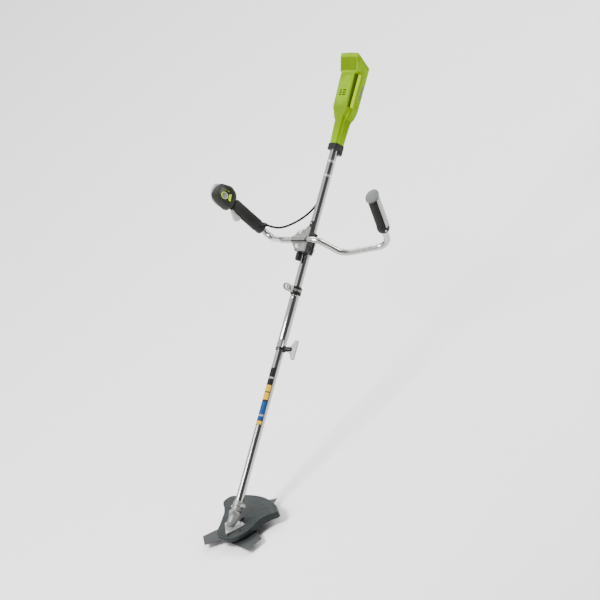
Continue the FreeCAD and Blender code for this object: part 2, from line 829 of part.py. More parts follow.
def housing_wire(level, half, inset):
    """One closed section, with its corners drawn in by the wall where it is an inner section."""
    drawn_in = []
    for x, y in half:
        deeper = 3 * inset if x < 37.5 and -19 < y < -16 else inset
        drawn_in.append((max(x - inset, 1), y + deeper if y < 0 else y - inset))
    corners = [Vector(x, y, level) for x, y in drawn_in]
    corners += [Vector(-c.x, c.y, level) for c in reversed(corners)]
    return Part.makePolygon(corners + corners[:1])


def housing_form(inset, extend):
    """Outer or inner form of the housing: neck, flare, body and hood, cut to a sloping top."""
    levels = [level for level, half in HOUSING_SECTIONS]
    levels[0] += extend
    wires = [housing_wire(z, half, inset) for z, (level, half) in zip(levels, HOUSING_SECTIONS)]
    form = Part.makeLoft(wires, True, True)
    hood, back = size("hood_front"), size("housing_back")
    slope = (size("hood_front_top") - size("hood_back_top")) / (hood + back)
    reach = 80
    front_top = size("hood_front_top") - inset + slope * (reach - hood)
    back_top = size("hood_back_top") - inset - slope * (reach - back)
    side_view = [
        Vector(-reach, -reach, front_top),
        Vector(-reach, reach, back_top),
        Vector(-reach, reach, 900),
        Vector(-reach, -reach, 900),
    ]
    wedge = Part.Face(Part.makePolygon(side_view + side_view[:1])).extrude(X_AXIS * 2 * reach)
    return form.cut(wedge)


BAY_LOW, BAY_TOP = 672, 800
LATCH_LEVEL = 706


def make_housing():
    """Two shells that meet on the machine's middle plane, around the battery bay at the back."""
    wall = size("shell_wall")
    back = size("housing_back")
    outer = housing_form(0, 0)
    shell = outer.cut(housing_form(wall, 9))
    bay_block = Part.makeBox(66, back - 2, BAY_TOP - BAY_LOW + 4, Vector(-33, 2, BAY_LOW - 4))
    bay_block = bay_block.common(outer)
    rib = Part.makeBox(60, 60, 6, Vector(-30, -30, 536)).common(outer)
    mount = Part.makeBox(90, 60, 4, Vector(-45, -30, 607)).common(outer)
    whole = shell.fuse([bay_block, rib, mount])
    floor_y, rail_y = 10, 16.5
    channel = Part.makeBox(56, rail_y - floor_y, 200, Vector(-28, floor_y, BAY_LOW))
    mouth = Part.makeBox(44, 20, 200, Vector(-22, rail_y, BAY_LOW))
    pocket = Part.makeBox(12.6, 8, 12.6, Vector(-6.3, 2.8, LATCH_LEVEL - 6.3))
    tube_hole = Part.makeCylinder(TUBE_R, 70, Vector(0, 0, size("neck_low")), Z_AXIS)
    shaft_hole = Part.makeCylinder(11, 20, Vector(0, 0, 600), Z_AXIS)
    screw_sink, screw_proud = 1.5, 0.4
    screw_places = [
        Vector(-21.2, -8, 520),
        Vector(-22.3, 8, 550),
        Vector(-size("housing_half"), -3, 630),
        Vector(-size("housing_half"), 12, 640),
        Vector(-size("housing_half"), -18, 744),
    ]
    pockets = [rod_shape(2.7, place + X_AXIS * screw_sink, place - X_AXIS * 3) for place in screw_places]
    for tool in [channel, mouth, pocket, tube_hole, shaft_hole] + pockets:
        whole = whole.cut(tool)
    for name, low_x in (("housing_left", 0), ("housing_right", -100)):
        half_space = Part.makeBox(100, 200, 500, Vector(low_x, -100, 400))
        feature(whole.common(half_space), name, SHAFT)

    screws = [rod(2.6, p + X_AXIS * screw_sink, p - X_AXIS * screw_proud) for p in screw_places]
    keep(group(*screws), "housing_screws", SHAFT)

    collar = new_body("neck_collar", SHAFT)
    oblong = sketch(collar, "XY_Plane", size("collar_low"))
    wide, front_y, back_y, corner = 19, -17, 21, 5
    polygon(
        oblong,
        [
            (wide, front_y + corner),
            (wide, back_y - corner),
            (wide - corner, back_y),
            (-wide + corner, back_y),
            (-wide, back_y - corner),
            (-wide, front_y + corner),
            (-wide + corner, front_y),
            (wide - corner, front_y),
        ],
    )
    pad(collar, oblong, "dims.neck_low - dims.collar_low")
    bore = sketch(collar, "XY_Plane", size("collar_low") - 1)
    circle(bore, 0, 0, "dims.tube_od / 2")
    doc.recompute()
    pad(collar, bore, 40, "PartDesign::Pocket").Reversed = True


def make_motor():
    """Brushless motor, its board, and the battery's terminals and latch."""
    low, top = 612, 660
    revolved(
        "motor_can",
        SHAFT,
        [(12.4, low), (18, low), (18, top), (4.5, top), (4.5, top - 4), (12.4, top - 4)],
    )
    revolved("motor_rotor", SHAFT, [(DRIVE_R, low + 2), (11.8, low + 2), (11.8, top - 7),
                                   (DRIVE_R, top - 7)])
    revolved("motor_bearing", SHAFT, [(DRIVE_R + GAP, 607), (11, 607), (11, 611), (DRIVE_R + GAP, 611)])
    board = block((-24, -24, 668), (24, -22.4, 712))
    chips = [block((x, -22.4, 672), (x + 9, -15, 684)) for x in (-20, -5, 11)]
    coil = cylinder(6, 14, Placement(Vector(0, -15, 690), Rotation()))
    keep(fuse(board, coil, block((-7, -22.4, 688), (7, -15, 706)), *chips), "controller_board", SHAFT)
    carrier = block((-16, 10, 676), (16, 13, 694))
    blades = [block((x - 0.6, 13, 680), (x + 0.6, 16.2, 694)) for x in (-10, 0, 10)]
    keep(fuse(carrier, *blades), "battery_terminal", SHAFT)
    latch = new_body("battery_latch", SHAFT)
    side = sketch(latch, "YZ_Plane", -6)
    low_z = LATCH_LEVEL - 6
    polygon(side, [(6.5, low_z), (12.8, low_z), (12.8, low_z + 4), (10.2, low_z + 12), (6.5, low_z + 12)])
    pad(latch, side, 12)


def make_drive_line():
    """Shaft from the rotor down to the square socket, and the lower shaft that plugs into it."""
    square = size("drive_square")
    socket_low, socket_top = -162, -128
    shaft = rod("dims.drive_od / 2", Vector(0, 0, socket_top), Vector(0, 0, 668))
    socket = rod(7, Vector(0, 0, socket_low), Vector(0, 0, socket_top + 6))
    hole = block(
        (-square / 2 - 0.2, -square / 2 - 0.2, socket_low - 1),
        (square / 2 + 0.2, square / 2 + 0.2, socket_top - 2),
    )
    keep(cut(fuse(shaft, socket), hole), "upper_drive_shaft", SHAFT)
    lower_end = size("head_centre") + size("cone_length") * size("tooth_keep") * 0.92
    lower = rod("dims.drive_od / 2", Vector(0, 0, lower_end), Vector(0, 0, socket_low - 4))
    tip = block(
        (-square / 2, -square / 2, socket_low - 6), (square / 2, square / 2, socket_top - 5)
    )
    keep(fuse(lower, tip), "lower_drive_shaft", SHAFT)
    for name, levels in (
        ("upper_shaft_bushes", (-90, 70, 230, 390, 540)),
        ("lower_shaft_bushes", (-640, -520, -400, -280, -200)),
    ):
        rings = [
            ring(
                "dims.tube_od / 2 - dims.tube_wall",
                "dims.drive_od / 2 + dims.running_gap",
                10,
                Placement(Vector(0, 0, level), Rotation()),
            )
            for level in levels
        ]
        keep(group(*rings), name, SHAFT)


# ---- gear head ----
SHAFT_WAY = Vector(0, math.cos(math.radians(size("shaft_rise"))), math.sin(math.radians(size("shaft_rise"))))
BETWEEN = math.radians(90 - size("shaft_rise"))
GEAR_RATIO = size("gear_teeth") / size("pinion_teeth")
PINION_CONE = math.atan(math.sin(BETWEEN) / (GEAR_RATIO + math.cos(BETWEEN)))
GEAR_CONE = BETWEEN - PINION_CONE


def toothed_cone(cone, teeth, first_turn, bore):
    """Bevel gear about z with its apex at the origin. Its tooth outline shrinks towards the apex."""
    length = size("cone_length")
    pitch_r = length * math.sin(cone)
    module = 2 * pitch_r / teeth
    tip_r, root_r = pitch_r + 0.8 * module, pitch_r - 1.2 * module
    step = 2 * math.pi / teeth

    def wire(scale):
        corners = []
        for tooth in range(teeth):
            middle = first_turn + tooth * step
            for radius, share in ((root_r, -0.24), (tip_r, -0.1), (tip_r, 0.1), (root_r, 0.24)):
                turn = middle + share * step
                corners.append(
                    Vector(radius * math.cos(turn), radius * math.sin(turn), length * math.cos(cone))
                    * scale
                )
        return Part.makePolygon(corners + corners[:1])

    solid = Part.makeLoft([wire(size("tooth_keep")), wire(1)], True, True)
    back = Part.makeCylinder(root_r, 2, Vector(0, 0, length * math.cos(cone)), Z_AXIS)
    return solid.fuse(back).cut(Part.makeCylinder(bore, 100, Vector(0, 0, -10), Z_AXIS))


def make_gears():
    """Bevel pair on the shaft's and the spindle's axes, a pinion tooth in a gear gap."""
    teeth = int(size("gear_teeth"))
    gear_turn = math.pi / 2 + math.pi / teeth
    gear = toothed_cone(GEAR_CONE, teeth, gear_turn, SPINDLE_R)
    feature(gear, "bevel_gear", HEAD)
    pinion = toothed_cone(PINION_CONE, int(size("pinion_teeth")), -math.pi / 2, DRIVE_R)
    feature(pinion, "bevel_pinion", SHAFT * Placement(Vector(0, 0, size("head_centre")), Rotation()))


NOSE_WAY = Vector(0, -0.97, -0.243)
GUARD_BOLTS = [Vector(-34, -18, 0), Vector(0, -57, 0), Vector(34, -18, 0)]


def make_gear_case():
    """Cast case: upright barrel for the spindle, neck for the tube, nose, and the guard's flange."""
    radius, top = size("case_radius"), size("case_top")
    low = size("guard_top")
    flange_thick = 4
    neck_end, nose_end, clamp_at = 46, 36, 32
    barrel = Part.makeCylinder(radius, top - 6 - low, Vector(0, 0, low), Z_AXIS)
    dome = Part.makeCone(radius, 11, 6, Vector(0, 0, top - 6), Z_AXIS)
    neck = Part.makeCylinder(16, neck_end, Vector(), SHAFT_WAY)
    collar = Part.makeCylinder(17.5, neck_end - 25, SHAFT_WAY * 25, SHAFT_WAY)
    nose = Part.makeCone(19, 11.5, nose_end, Vector(), NOSE_WAY)
    clamp_middle = SHAFT_WAY * clamp_at
    ears = Part.makeCylinder(5.5, 52, clamp_middle - X_AXIS * 24, X_AXIS)
    kite = [
        Vector(-46, -17, 0),
        Vector(0, -71, 0),
        Vector(46, -17, 0),
        Vector(17, -3, 0),
        Vector(-17, -3, 0),
    ]
    flange = slab(kite, 5, low, low + flange_thick, Z_AXIS)
    solid = barrel.fuse([dome, neck, collar, nose, ears, flange])
    below = Part.makeBox(200, 200, 100, Vector(-100, -100, low - 100))
    solid = solid.cut(below)
    cavity = Part.makeCylinder(radius - 5, top - 12 - low, Vector(0, 0, low + 8), Z_AXIS)
    tube_hole = Part.makeCylinder(TUBE_R, 60, SHAFT_WAY * 28, SHAFT_WAY)
    pinion_hole = Part.makeCylinder(10.5, 40, SHAFT_WAY * 4, SHAFT_WAY)
    top_seat = Part.makeCylinder(9, 8, Vector(0, 0, top - 9), Z_AXIS)
    low_seat = Part.makeCylinder(13, 12, Vector(0, 0, low - 1), Z_AXIS)
    nose_hole = Part.makeCylinder(8, 20, NOSE_WAY * 24, NOSE_WAY)
    clamp_hole = Part.makeCylinder(2.5, 60, clamp_middle - X_AXIS * 30, X_AXIS)
    cap_seat = Part.makeCone(11.2, 9.4, 6, NOSE_WAY * nose_end, NOSE_WAY)
    tools = [cavity, tube_hole, pinion_hole, top_seat, low_seat, nose_hole, clamp_hole, cap_seat]
    for seam in (20, 30):
        groove = Part.makeCylinder(30, 1.2, SHAFT_WAY * seam, SHAFT_WAY)
        core_r = 15.2 if seam < 25 else 16.7
        ring_cut = groove.cut(Part.makeCylinder(core_r, 2, SHAFT_WAY * (seam - 0.4), SHAFT_WAY))
        guard_side = Part.makeBox(80, 80, 80, Vector(-40, -10, -4))
        tools.append(ring_cut.common(guard_side))
    for place in GUARD_BOLTS:
        tools.append(Part.makeCylinder(2.5, 40, place + Vector(0, 0, low - 2), Z_AXIS))
    for tool in tools:
        solid = solid.cut(tool)
    feature(solid, "gearbox_case", HEAD)

    plug = Part.makeCylinder(8, 10, NOSE_WAY * (nose_end - 9), NOSE_WAY)
    cap = Part.makeCone(10.8, 9, 3, NOSE_WAY * nose_end, NOSE_WAY)
    feature(plug.fuse(cap), "gearbox_nose_cap", HEAD)

    bearings = [
        ring(9, SPINDLE_R + GAP, 6.5, Placement(Vector(0, 0, top - 9), Rotation())),
        ring(13, SPINDLE_R + GAP, 7, Placement(Vector(0, 0, low), Rotation())),
        ring(10.4, DRIVE_R + GAP, 7, along(SHAFT_WAY, SHAFT_WAY * 19)),
    ]
    keep(group(*bearings), "gearbox_bearings", HEAD)

    flange_top = Vector(0, 0, low + flange_thick)
    bolts = [
        fuse(
            rod(2.5, p + Vector(0, 0, low - 5), p + flange_top),
            rod(4.5, p + flange_top, p + flange_top + Vector(0, 0, 3.5)),
        )
        for p in GUARD_BOLTS
    ]
    for side, reach in ((-1, 24), (1, 28)):
        face = clamp_middle + X_AXIS * (side * reach)
        inner = clamp_middle + X_AXIS * (side * 14)
        bolts.append(fuse(rod(2.4, inner, face), rod(4.2, face, face + X_AXIS * (side * 2.5))))
    keep(group(*bolts), "gearbox_bolts", HEAD)


def guard_outline(level):
    """Outline of the guard: a ring round the spindle that widens to an uneven tail towards the user."""
    ring_centre, ring_r, ring_turn = Vector(-1, 0, level), size("guard_ring"), math.radians(15)
    ring_side = Vector(ring_r * math.cos(ring_turn), -ring_r * math.sin(ring_turn), 0)
    right_side = ring_centre + ring_side
    left_side = ring_centre + Vector(-ring_side.x, ring_side.y, 0)
    outline = [
        Part.Arc(left_side, ring_centre - Y_AXIS * ring_r, right_side),
        Part.Arc(right_side, Vector(92, 18, level), Vector(119, 41, level)),
        Part.Arc(Vector(119, 41, level), Vector(130, 47, level), Vector(125, 58, level)),
        Part.LineSegment(Vector(125, 58, level), Vector(100, 82, level)),
        Part.Arc(Vector(100, 82, level), Vector(-10, 127, level), Vector(-122, 127, level)),
        Part.Arc(Vector(-122, 127, level), Vector(-146, 112, level), Vector(-138, 84, level)),
        Part.Arc(Vector(-138, 84, level), Vector(-94, 30, level), left_side),
    ]
    return Part.Face(Part.Wire([piece.toShape() for piece in outline]))


def make_guard():
    top, low, wall = size("guard_top"), size("guard_low"), size("guard_wall")
    body = guard_outline(top).extrude(Z_AXIS * (low - top))
    hollow = guard_outline(top - wall).makeOffset2D(-wall).extrude(Z_AXIS * (low - top))
    solid = body.cut(hollow)
    bore = Part.makeCylinder(21, 40, Vector(0, 0, low), Z_AXIS)
    solid = solid.cut(bore)
    for place in GUARD_BOLTS:
        solid = solid.cut(Part.makeCylinder(2.5, 60, place + Vector(0, 0, low), Z_AXIS))
    feature(solid, "blade_guard", HEAD)


def make_spindle():
    """Spindle, the flanges that grip the blade, the blade and its nut."""
    level, thick = size("blade_level"), size("blade_thick")
    top_face, low_face = level + thick / 2, level - thick / 2
    revolved(
        "spindle_shaft",
        HEAD,
        [(0, low_face - 14), (SPINDLE_R, low_face - 14), (SPINDLE_R, 22), (0, 22)],
    )
    revolved(
        "blade_flange",
        HEAD,
        [
            (SPINDLE_R, top_face),
            (21, top_face),
            (21, top_face + 3),
            (13, top_face + 9),
            (11, -23),
            (SPINDLE_R, -23),
        ],
    )
    blade = new_body("blade", HEAD)
    drawn = sketch(blade, "XY_Plane", low_face)
    tip_r = size("blade_od") / 2
    teeth, first_turn = 3, 75.5
    tooth = [(tip_r, 0), (132, 23), (70, 37), (69, 68), (87, 98)]

    def polar(place, turn):
        radius, angle = place[0], math.radians(place[1] + turn)
        return Vector(radius * math.cos(angle), radius * math.sin(angle), 0)

    for number in range(teeth):
        turn = first_turn + number * 360 / teeth
        tip, heel, root, waist, foot = (polar(place, turn) for place in tooth)
        following = polar(tooth[0], turn + 360 / teeth)
        drawn.addGeometry(Part.LineSegment(tip, heel), False)
        drawn.addGeometry(Part.LineSegment(heel, root), False)
        drawn.addGeometry(Part.Arc(root, waist, foot), False)
        drawn.addGeometry(Part.LineSegment(foot, following), False)
    circle(drawn, 0, 0, "dims.blade_bore / 2")
    pad(blade, drawn, "dims.blade_thick")

    revolved(
        "blade_rider",
        HEAD,
        [
            (SPINDLE_R, low_face),
            (25, low_face),
            (24, low_face - 4),
            (17, low_face - 9),
            (SPINDLE_R, low_face - 9),
        ],
    )
    nut_top = low_face - 9
    nut = cut(
        primitive(
            "Prism",
            Placement(Vector(0, 0, nut_top - 7), Rotation()),
            Polygon=6,
            Circumradius=9.5,
            Height=7,
        ),
        cylinder("dims.spindle_od / 2", 30, Placement(Vector(0, 0, nut_top - 20), Rotation())),
    )
    keep(nut, "blade_nut", HEAD)


make_tubes()
make_label()
make_coupler()
make_harness_clamp()
make_bracket()
make_handle_bar()
make_throttle_cable()
make_throttle_handle()
make_left_handle()
make_housing()
make_motor()
make_drive_line()
make_gears()
make_gear_case()
make_guard()
make_spindle()

doc.recompute()
failed = [o.Label for o in doc.Objects if "Invalid" in o.State or "Error" in o.State]
if failed:
    raise SystemExit("objects that failed to build: %s" % failed)
for part in parts:
    if part.Shape.isNull() or not part.Shape.isValid():
        raise SystemExit("bad shape: " + part.Label)

os.makedirs("parts", exist_ok=True)
for old in os.listdir("parts"):
    os.remove(os.path.join("parts", old))
for part in parts:
    part.Shape.exportStep("parts/%s.step" % part.Label)
print(len(parts), "nodes")
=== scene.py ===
import math

import bmesh
import bpy
from mathutils import Matrix, Vector


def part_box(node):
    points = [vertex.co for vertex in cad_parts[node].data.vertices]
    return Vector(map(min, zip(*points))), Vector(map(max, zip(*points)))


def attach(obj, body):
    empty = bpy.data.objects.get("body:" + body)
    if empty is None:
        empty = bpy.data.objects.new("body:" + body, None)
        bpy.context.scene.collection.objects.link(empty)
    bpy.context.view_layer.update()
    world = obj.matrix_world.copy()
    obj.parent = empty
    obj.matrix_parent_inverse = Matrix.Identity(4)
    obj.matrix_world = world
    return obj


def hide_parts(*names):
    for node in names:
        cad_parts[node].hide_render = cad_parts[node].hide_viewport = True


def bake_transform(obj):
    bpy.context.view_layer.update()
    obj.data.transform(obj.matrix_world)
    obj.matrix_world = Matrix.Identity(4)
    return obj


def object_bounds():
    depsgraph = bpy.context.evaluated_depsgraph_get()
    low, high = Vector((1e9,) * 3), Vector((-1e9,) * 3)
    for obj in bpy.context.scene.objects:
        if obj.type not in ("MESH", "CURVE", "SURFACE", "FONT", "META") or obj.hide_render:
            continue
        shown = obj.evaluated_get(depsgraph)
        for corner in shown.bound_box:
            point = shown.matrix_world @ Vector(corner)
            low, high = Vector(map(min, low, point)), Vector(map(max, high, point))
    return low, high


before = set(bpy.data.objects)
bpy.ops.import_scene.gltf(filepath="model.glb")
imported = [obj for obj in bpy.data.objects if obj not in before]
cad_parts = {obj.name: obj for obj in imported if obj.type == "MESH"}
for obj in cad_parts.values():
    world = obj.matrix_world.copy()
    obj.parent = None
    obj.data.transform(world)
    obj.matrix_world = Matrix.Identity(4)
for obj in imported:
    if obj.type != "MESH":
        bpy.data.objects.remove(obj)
cad_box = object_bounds()

shift = Matrix.Translation

# The looks of a cordless brush cutter. Pieces are drawn in millimetres in the same local frames as the
# solids they stand for, then set in the row frame in metres.

MM = 0.001
RISE = math.radians(30)
EYE_REACH = 46
TUBE_BORE, BAR_BORE = 13.02, 10.06
CABLE_SEAT = (-12.9, 11.2, 0)

LEAN = Matrix.Rotation(RISE - math.pi / 2, 4, "X")
SHAFT = shift(-(LEAN @ Vector((0, -EYE_REACH, 0)))) @ LEAN
HEAD = shift(SHAFT @ Vector((0, 0, -742)))
BAR = SHAFT @ shift((0, -38, 156))


def hand_frame(side):
    """Frame of a hand grip: z up the grip, x to its finger side, y to the user's left."""
    up = Vector((side * 0.356, -0.860, 0.369)).normalized()
    fingers = (up * up.z - Vector((0, 0, 1))).normalized()
    turned = Matrix((fingers, up.cross(fingers), up)).transposed().to_4x4()
    return BAR @ shift((side * 271, 75, 66)) @ turned


RIGHT_HAND = hand_frame(-1)
LEFT_HAND = hand_frame(1)
CONTROLS = RIGHT_HAND @ Matrix.Rotation(math.radians(17.5), 4, "Z")


# ---- mesh helpers: each gives (vertices, faces), in millimetres ----
def moved(shape, matrix):
    return [matrix @ Vector(v) for v in shape[0]], shape[1]


def joined(*shapes):
    verts, faces = [], []
    for shape in shapes:
        first = len(verts)
        verts += shape[0]
        faces += [[first + i for i in face] for face in shape[1]]
    return verts, faces


def loft(loops, closed=False):
    """Skin over loops of equal length; closed joins the last loop to the first, else the ends are capped."""
    count = len(loops[0])
    verts = [Vector(v) for loop in loops for v in loop]
    faces = []
    spans = len(loops) if closed else len(loops) - 1
    for k in range(spans):
        low, high = k * count, (k + 1) % len(loops) * count
        for i in range(count):
            j = (i + 1) % count
            faces.append([low + i, low + j, high + j, high + i])
    if not closed:
        faces.append(list(range(count))[::-1])
        faces.append([(len(loops) - 1) * count + i for i in range(count)])
    return verts, faces


def lathe(profile, steps=48):
    """Solid turned about z from a closed profile of (radius, height), or one that ends on the axis."""
    rings, verts, faces = [], [], []
    for radius, height in profile:
        count = 1 if radius == 0 else steps
        rings.append([len(verts) + i for i in range(count)])
        for i in range(count):
            turn = 2 * math.pi * i / steps
            verts.append(Vector((radius * math.cos(turn), radius * math.sin(turn), height)))
    pairs = list(zip(rings, rings[1:]))
    if profile[0][0] and profile[-1][0]:
        pairs.append((rings[-1], rings[0]))
    for a, b in pairs:
        for i in range(steps):
            j = (i + 1) % steps
            corners = [a[i % len(a)], a[j % len(a)], b[j % len(b)], b[i % len(b)]]
            face = [c for k, c in enumerate(corners) if c not in corners[:k]]
            if len(face) > 2:
                faces.append(face)
    return verts, faces


def rounded(points, radius, steps=5):
    """Outline with its corners rounded, as 2-D points."""
    out = []
    points = [Vector(p) for p in points]
    for before, corner, after in zip(points[-1:] + points[:-1], points, points[1:] + points[:1]):
        a, b = (before - corner), (after - corner)
        reach = min(radius, 0.45 * a.length, 0.45 * b.length)
        start, end = corner + a.normalized() * reach, corner + b.normalized() * reach
        for k in range(steps + 1):
            t = k / steps
            out.append(start * (1 - t) ** 2 + corner * 2 * t * (1 - t) + end * t ** 2)
    return out


def plate(outline, low, high):
    """Prism along z over a 2-D outline."""
    return loft([[(p[0], p[1], low) for p in outline], [(p[0], p[1], high) for p in outline]])


def box(low, high):
    corners = [(low[0], low[1]), (high[0], low[1]), (high[0], high[1]), (low[0], high[1])]
    return plate(corners, low[2], high[2])


def axis_to(way, start=(0, 0, 0)):
    """Matrix that turns z to a direction and moves the origin to start."""
    return shift(start) @ Vector(way).to_track_quat("Z", "Y").to_matrix().to_4x4()


def xz_plate(outline, low, high):
    """Prism along +y over an outline of (x, z)."""
    verts, faces = plate(outline, low, high)
    return [Vector((v.x, v.z, v.y)) for v in verts], [face[::-1] for face in faces]


def mirrored(shape, side):
    """The shape itself for side 1, or its mirror image in x for side -1."""
    verts, faces = shape
    if side == 1:
        return verts, faces
    return [Vector((-v[0], v[1], v[2])) for v in verts], [face[::-1] for face in faces]


def yz_plate(outline, low, high):
    """Prism along +x over an outline of (y, z)."""
    verts, faces = plate(outline, low, high)
    return [Vector((v.z, v.x, v.y)) for v in verts], faces


def peg(radius, low, high, steps=48):
    """Plain round solid along z, from low to high."""
    return lathe([(0, low), (radius, low), (radius, high), (0, high)], steps)


def arc_points(radius, degrees):
    """Points at one radius in each of the directions given in degrees."""
    return [(radius * math.cos(math.radians(a)), radius * math.sin(math.radians(a))) for a in degrees]


def bolt_head(radius, height, socket=True):
    """Cap head with a broken edge and a round socket, standing on z = 0."""
    outer = [(radius, 0), (radius, height * 0.75), (radius * 0.88, height)]
    if not socket:
        return lathe([(0, 0)] + outer + [(0, height)], 28)
    hollow = radius * 0.5
    return lathe([(0, 0)] + outer + [(hollow, height), (hollow * 0.96, height * 0.35), (0, height * 0.3)], 24)


def cross_screw(radius, height):
    """Domed screw head with a cross recess cut as four valleys, standing on z = 0."""
    verts, faces = lathe([(0, 0), (radius, 0), (radius * 0.96, height * 0.4), (radius * 0.7, height * 0.85),
                          (radius * 0.45, height), (radius * 0.22, height), (0, height)], 32)
    for v in verts:
        arm = min(abs(v.x), abs(v.y))
        if v.z > height * 0.8 and v.xy.length < radius * 0.6 and arm < radius * 0.1:
            v.z -= height * 0.5
    return verts, faces


# ---- materials ----
class Nodes:
    """Short-hand for building one node material."""

    def __init__(self, name):
        self.material = bpy.data.materials.new(name)
        self.material.use_nodes = True
        self.tree = self.material.node_tree
        self.shader = self.tree.nodes["Principled BSDF"]

    def add(self, kind, **inputs):
        node = self.tree.nodes.new(kind)
        for key, value in inputs.items():
            node.inputs[key.replace("_", " ")].default_value = value
        return node

    def link(self, source, target):
        self.tree.links.new(source, target)

    def coordinates(self, stretch=(1, 1, 1), shaft=False):
        place = self.add("ShaderNodeTexCoord")
        turn = self.add("ShaderNodeMapping")
        if shaft:
            turn.inputs["Rotation"].default_value = (math.pi / 2 - RISE, 0, 0)
        scale = self.add("ShaderNodeMapping")
        scale.inputs["Scale"].default_value = stretch
        self.link(place.outputs["Object"], turn.inputs["Vector"])
        self.link(turn.outputs["Vector"], scale.inputs["Vector"])
        return scale.outputs["Vector"]

    def noise(self, where, scale, detail=4.0, rough=0.5):
        node = self.add("ShaderNodeTexNoise", Scale=scale, Detail=detail, Roughness=rough)
        self.link(where, node.inputs["Vector"])
        return node.outputs["Fac"]

    def ramp(self, source, stops, constant=False):
        node = self.tree.nodes.new("ShaderNodeValToRGB")
        if constant:
            node.color_ramp.interpolation = "CONSTANT"
        while len(node.color_ramp.elements) < len(stops):
            node.color_ramp.elements.new(0.5)
        for element, (place, colour) in zip(node.color_ramp.elements, stops):
            element.position = place
            element.color = (*colour, 1)
        self.link(source, node.inputs["Fac"])
        return node.outputs["Color"]

    def toned(self, source, colour, dark, pale):
        """A colour that drifts between a darker and a paler tone of itself."""
        return self.ramp(source, [(0.3, shade(colour, dark)), (0.7, shade(colour, pale))])

    def span(self, source, low, high):
        """A noise value spread over low to high."""
        node = self.add("ShaderNodeMapRange", From_Min=0.3, From_Max=0.7, To_Min=low, To_Max=high)
        self.link(source, node.inputs["Value"])
        return node.outputs["Result"]

    def mix(self, factor, a, b):
        node = self.tree.nodes.new("ShaderNodeMix")
        node.data_type = "RGBA"
        self.link(factor, node.inputs["Factor"])
        for socket, value in ((node.inputs["A"], a), (node.inputs["B"], b)):
            if isinstance(value, tuple):
                socket.default_value = (*value, 1)
            else:
                self.link(value, socket)
        return node.outputs["Result"]

    def worn(self, colour, worn_colour, start=0.53, end=0.62):
        """Colour that changes along convex edges, where hands and tools rub."""
        shape = self.add("ShaderNodeNewGeometry")
        edge = self.add("ShaderNodeMapRange", From_Min=start, From_Max=end, To_Max=0.8)
        self.link(shape.outputs["Pointiness"], edge.inputs["Value"])
        return self.mix(edge.outputs["Result"], colour, worn_colour)

    def bump(self, height, strength, depth):
        node = self.add("ShaderNodeBump", Strength=strength, Distance=depth * MM)
        self.link(height, node.inputs["Height"])
        self.link(node.outputs["Normal"], self.shader.inputs["Normal"])

    def finish(self, colour, roughness, **values):
        if isinstance(colour, tuple):
            self.shader.inputs["Base Color"].default_value = (*colour, 1)
        else:
            self.link(colour, self.shader.inputs["Base Color"])
        if isinstance(roughness, float):
            self.shader.inputs["Roughness"].default_value = roughness
        else:
            self.link(roughness, self.shader.inputs["Roughness"])
        for key, value in values.items():
            self.shader.inputs[key.replace("_", " ")].default_value = value
        return self.material


def shade(colour, factor):
    return tuple(min(1.0, c * factor) for c in colour)


def plastic(name, colour, rough=(0.38, 0.52), grain=0.08, coat=0.0, variation=0.08, shine=0.2):
    """Moulded plastic: fine spark-eroded grain, slightly uneven colour, paler rubbed edges."""
    n = Nodes(name)
    where = n.coordinates()
    broad, fine = n.noise(where, 14, 3), n.noise(where, 1400, 2)
    body = n.toned(broad, colour, 1 - variation, 1 + variation)
    colour_out = n.worn(body, shade(colour, 1.5))
    n.bump(fine, grain, 0.15)
    return n.finish(colour_out, n.span(n.noise(where, 60, 4), *rough), Specular_IOR_Level=shine,
                    Coat_Weight=coat, Coat_Roughness=0.12)


def rubber(name, colour, cells=520, depth=0.5):
    """Soft grip rubber with a fine moulded pebble and dusty high spots."""
    n = Nodes(name)
    where = n.coordinates()
    pebble = n.add("ShaderNodeTexVoronoi", Scale=float(cells))
    n.link(where, pebble.inputs["Vector"])
    dust = n.noise(where, 30, 6, 0.6)
    body = n.ramp(dust, [(0.35, shade(colour, 0.8)), (0.7, shade(colour, 1.35))])
    n.bump(pebble.outputs["Distance"], 0.35, depth)
    return n.finish(n.worn(body, shade(colour, 1.7)), n.span(dust, 0.62, 0.8), Specular_IOR_Level=0.15)


def coated(name, colour, rough=(0.35, 0.48)):
    """Powder-coated metal: orange-peel surface and slightly paler edges."""
    n = Nodes(name)
    where = n.coordinates()
    peel = n.noise(where, 700, 2)
    body = n.toned(n.noise(where, 20, 4), colour, 0.85, 1.2)
    n.bump(peel, 0.18, 0.25)
    return n.finish(n.worn(body, shade(colour, 2.5), 0.56, 0.68), n.span(n.noise(where, 40, 4), *rough),
                    Specular_IOR_Level=0.2)


def drawn_tube(name, colour, rough=(0.2, 0.34), relief=0.05):
    """Anodised drawn tube: hairlines along the shaft, faint banding and a few scuffs."""
    n = Nodes(name)
    along = n.coordinates((1, 1, 0.012), shaft=True)
    lines, bands = n.noise(along, 900, 3), n.noise(along, 120, 3)
    scuffs = n.noise(n.coordinates((1, 1, 0.3), shaft=True), 90, 8, 0.7)
    tone = n.toned(bands, colour, 0.84, 1.12)
    body = n.mix(n.span(scuffs, 0.0, 0.25), tone, shade(colour, 0.7))
    n.bump(lines, relief, 0.05)
    return n.finish(body, n.span(lines, *rough), Metallic=1.0)


def cast(name, colour, rough=(0.36, 0.5), metallic=1.0):
    """Bead-blasted casting: pitted skin, grey in the hollows and bright on the ribs."""
    n = Nodes(name)
    where = n.coordinates()
    pits, broad = n.noise(where, 620, 5, 0.6), n.noise(where, 45, 5)
    body = n.toned(broad, colour, 0.82, 1.1)
    n.bump(pits, 0.35, 0.3)
    return n.finish(n.worn(body, shade(colour, 1.3), 0.52, 0.6), n.span(pits, *rough), Metallic=metallic)


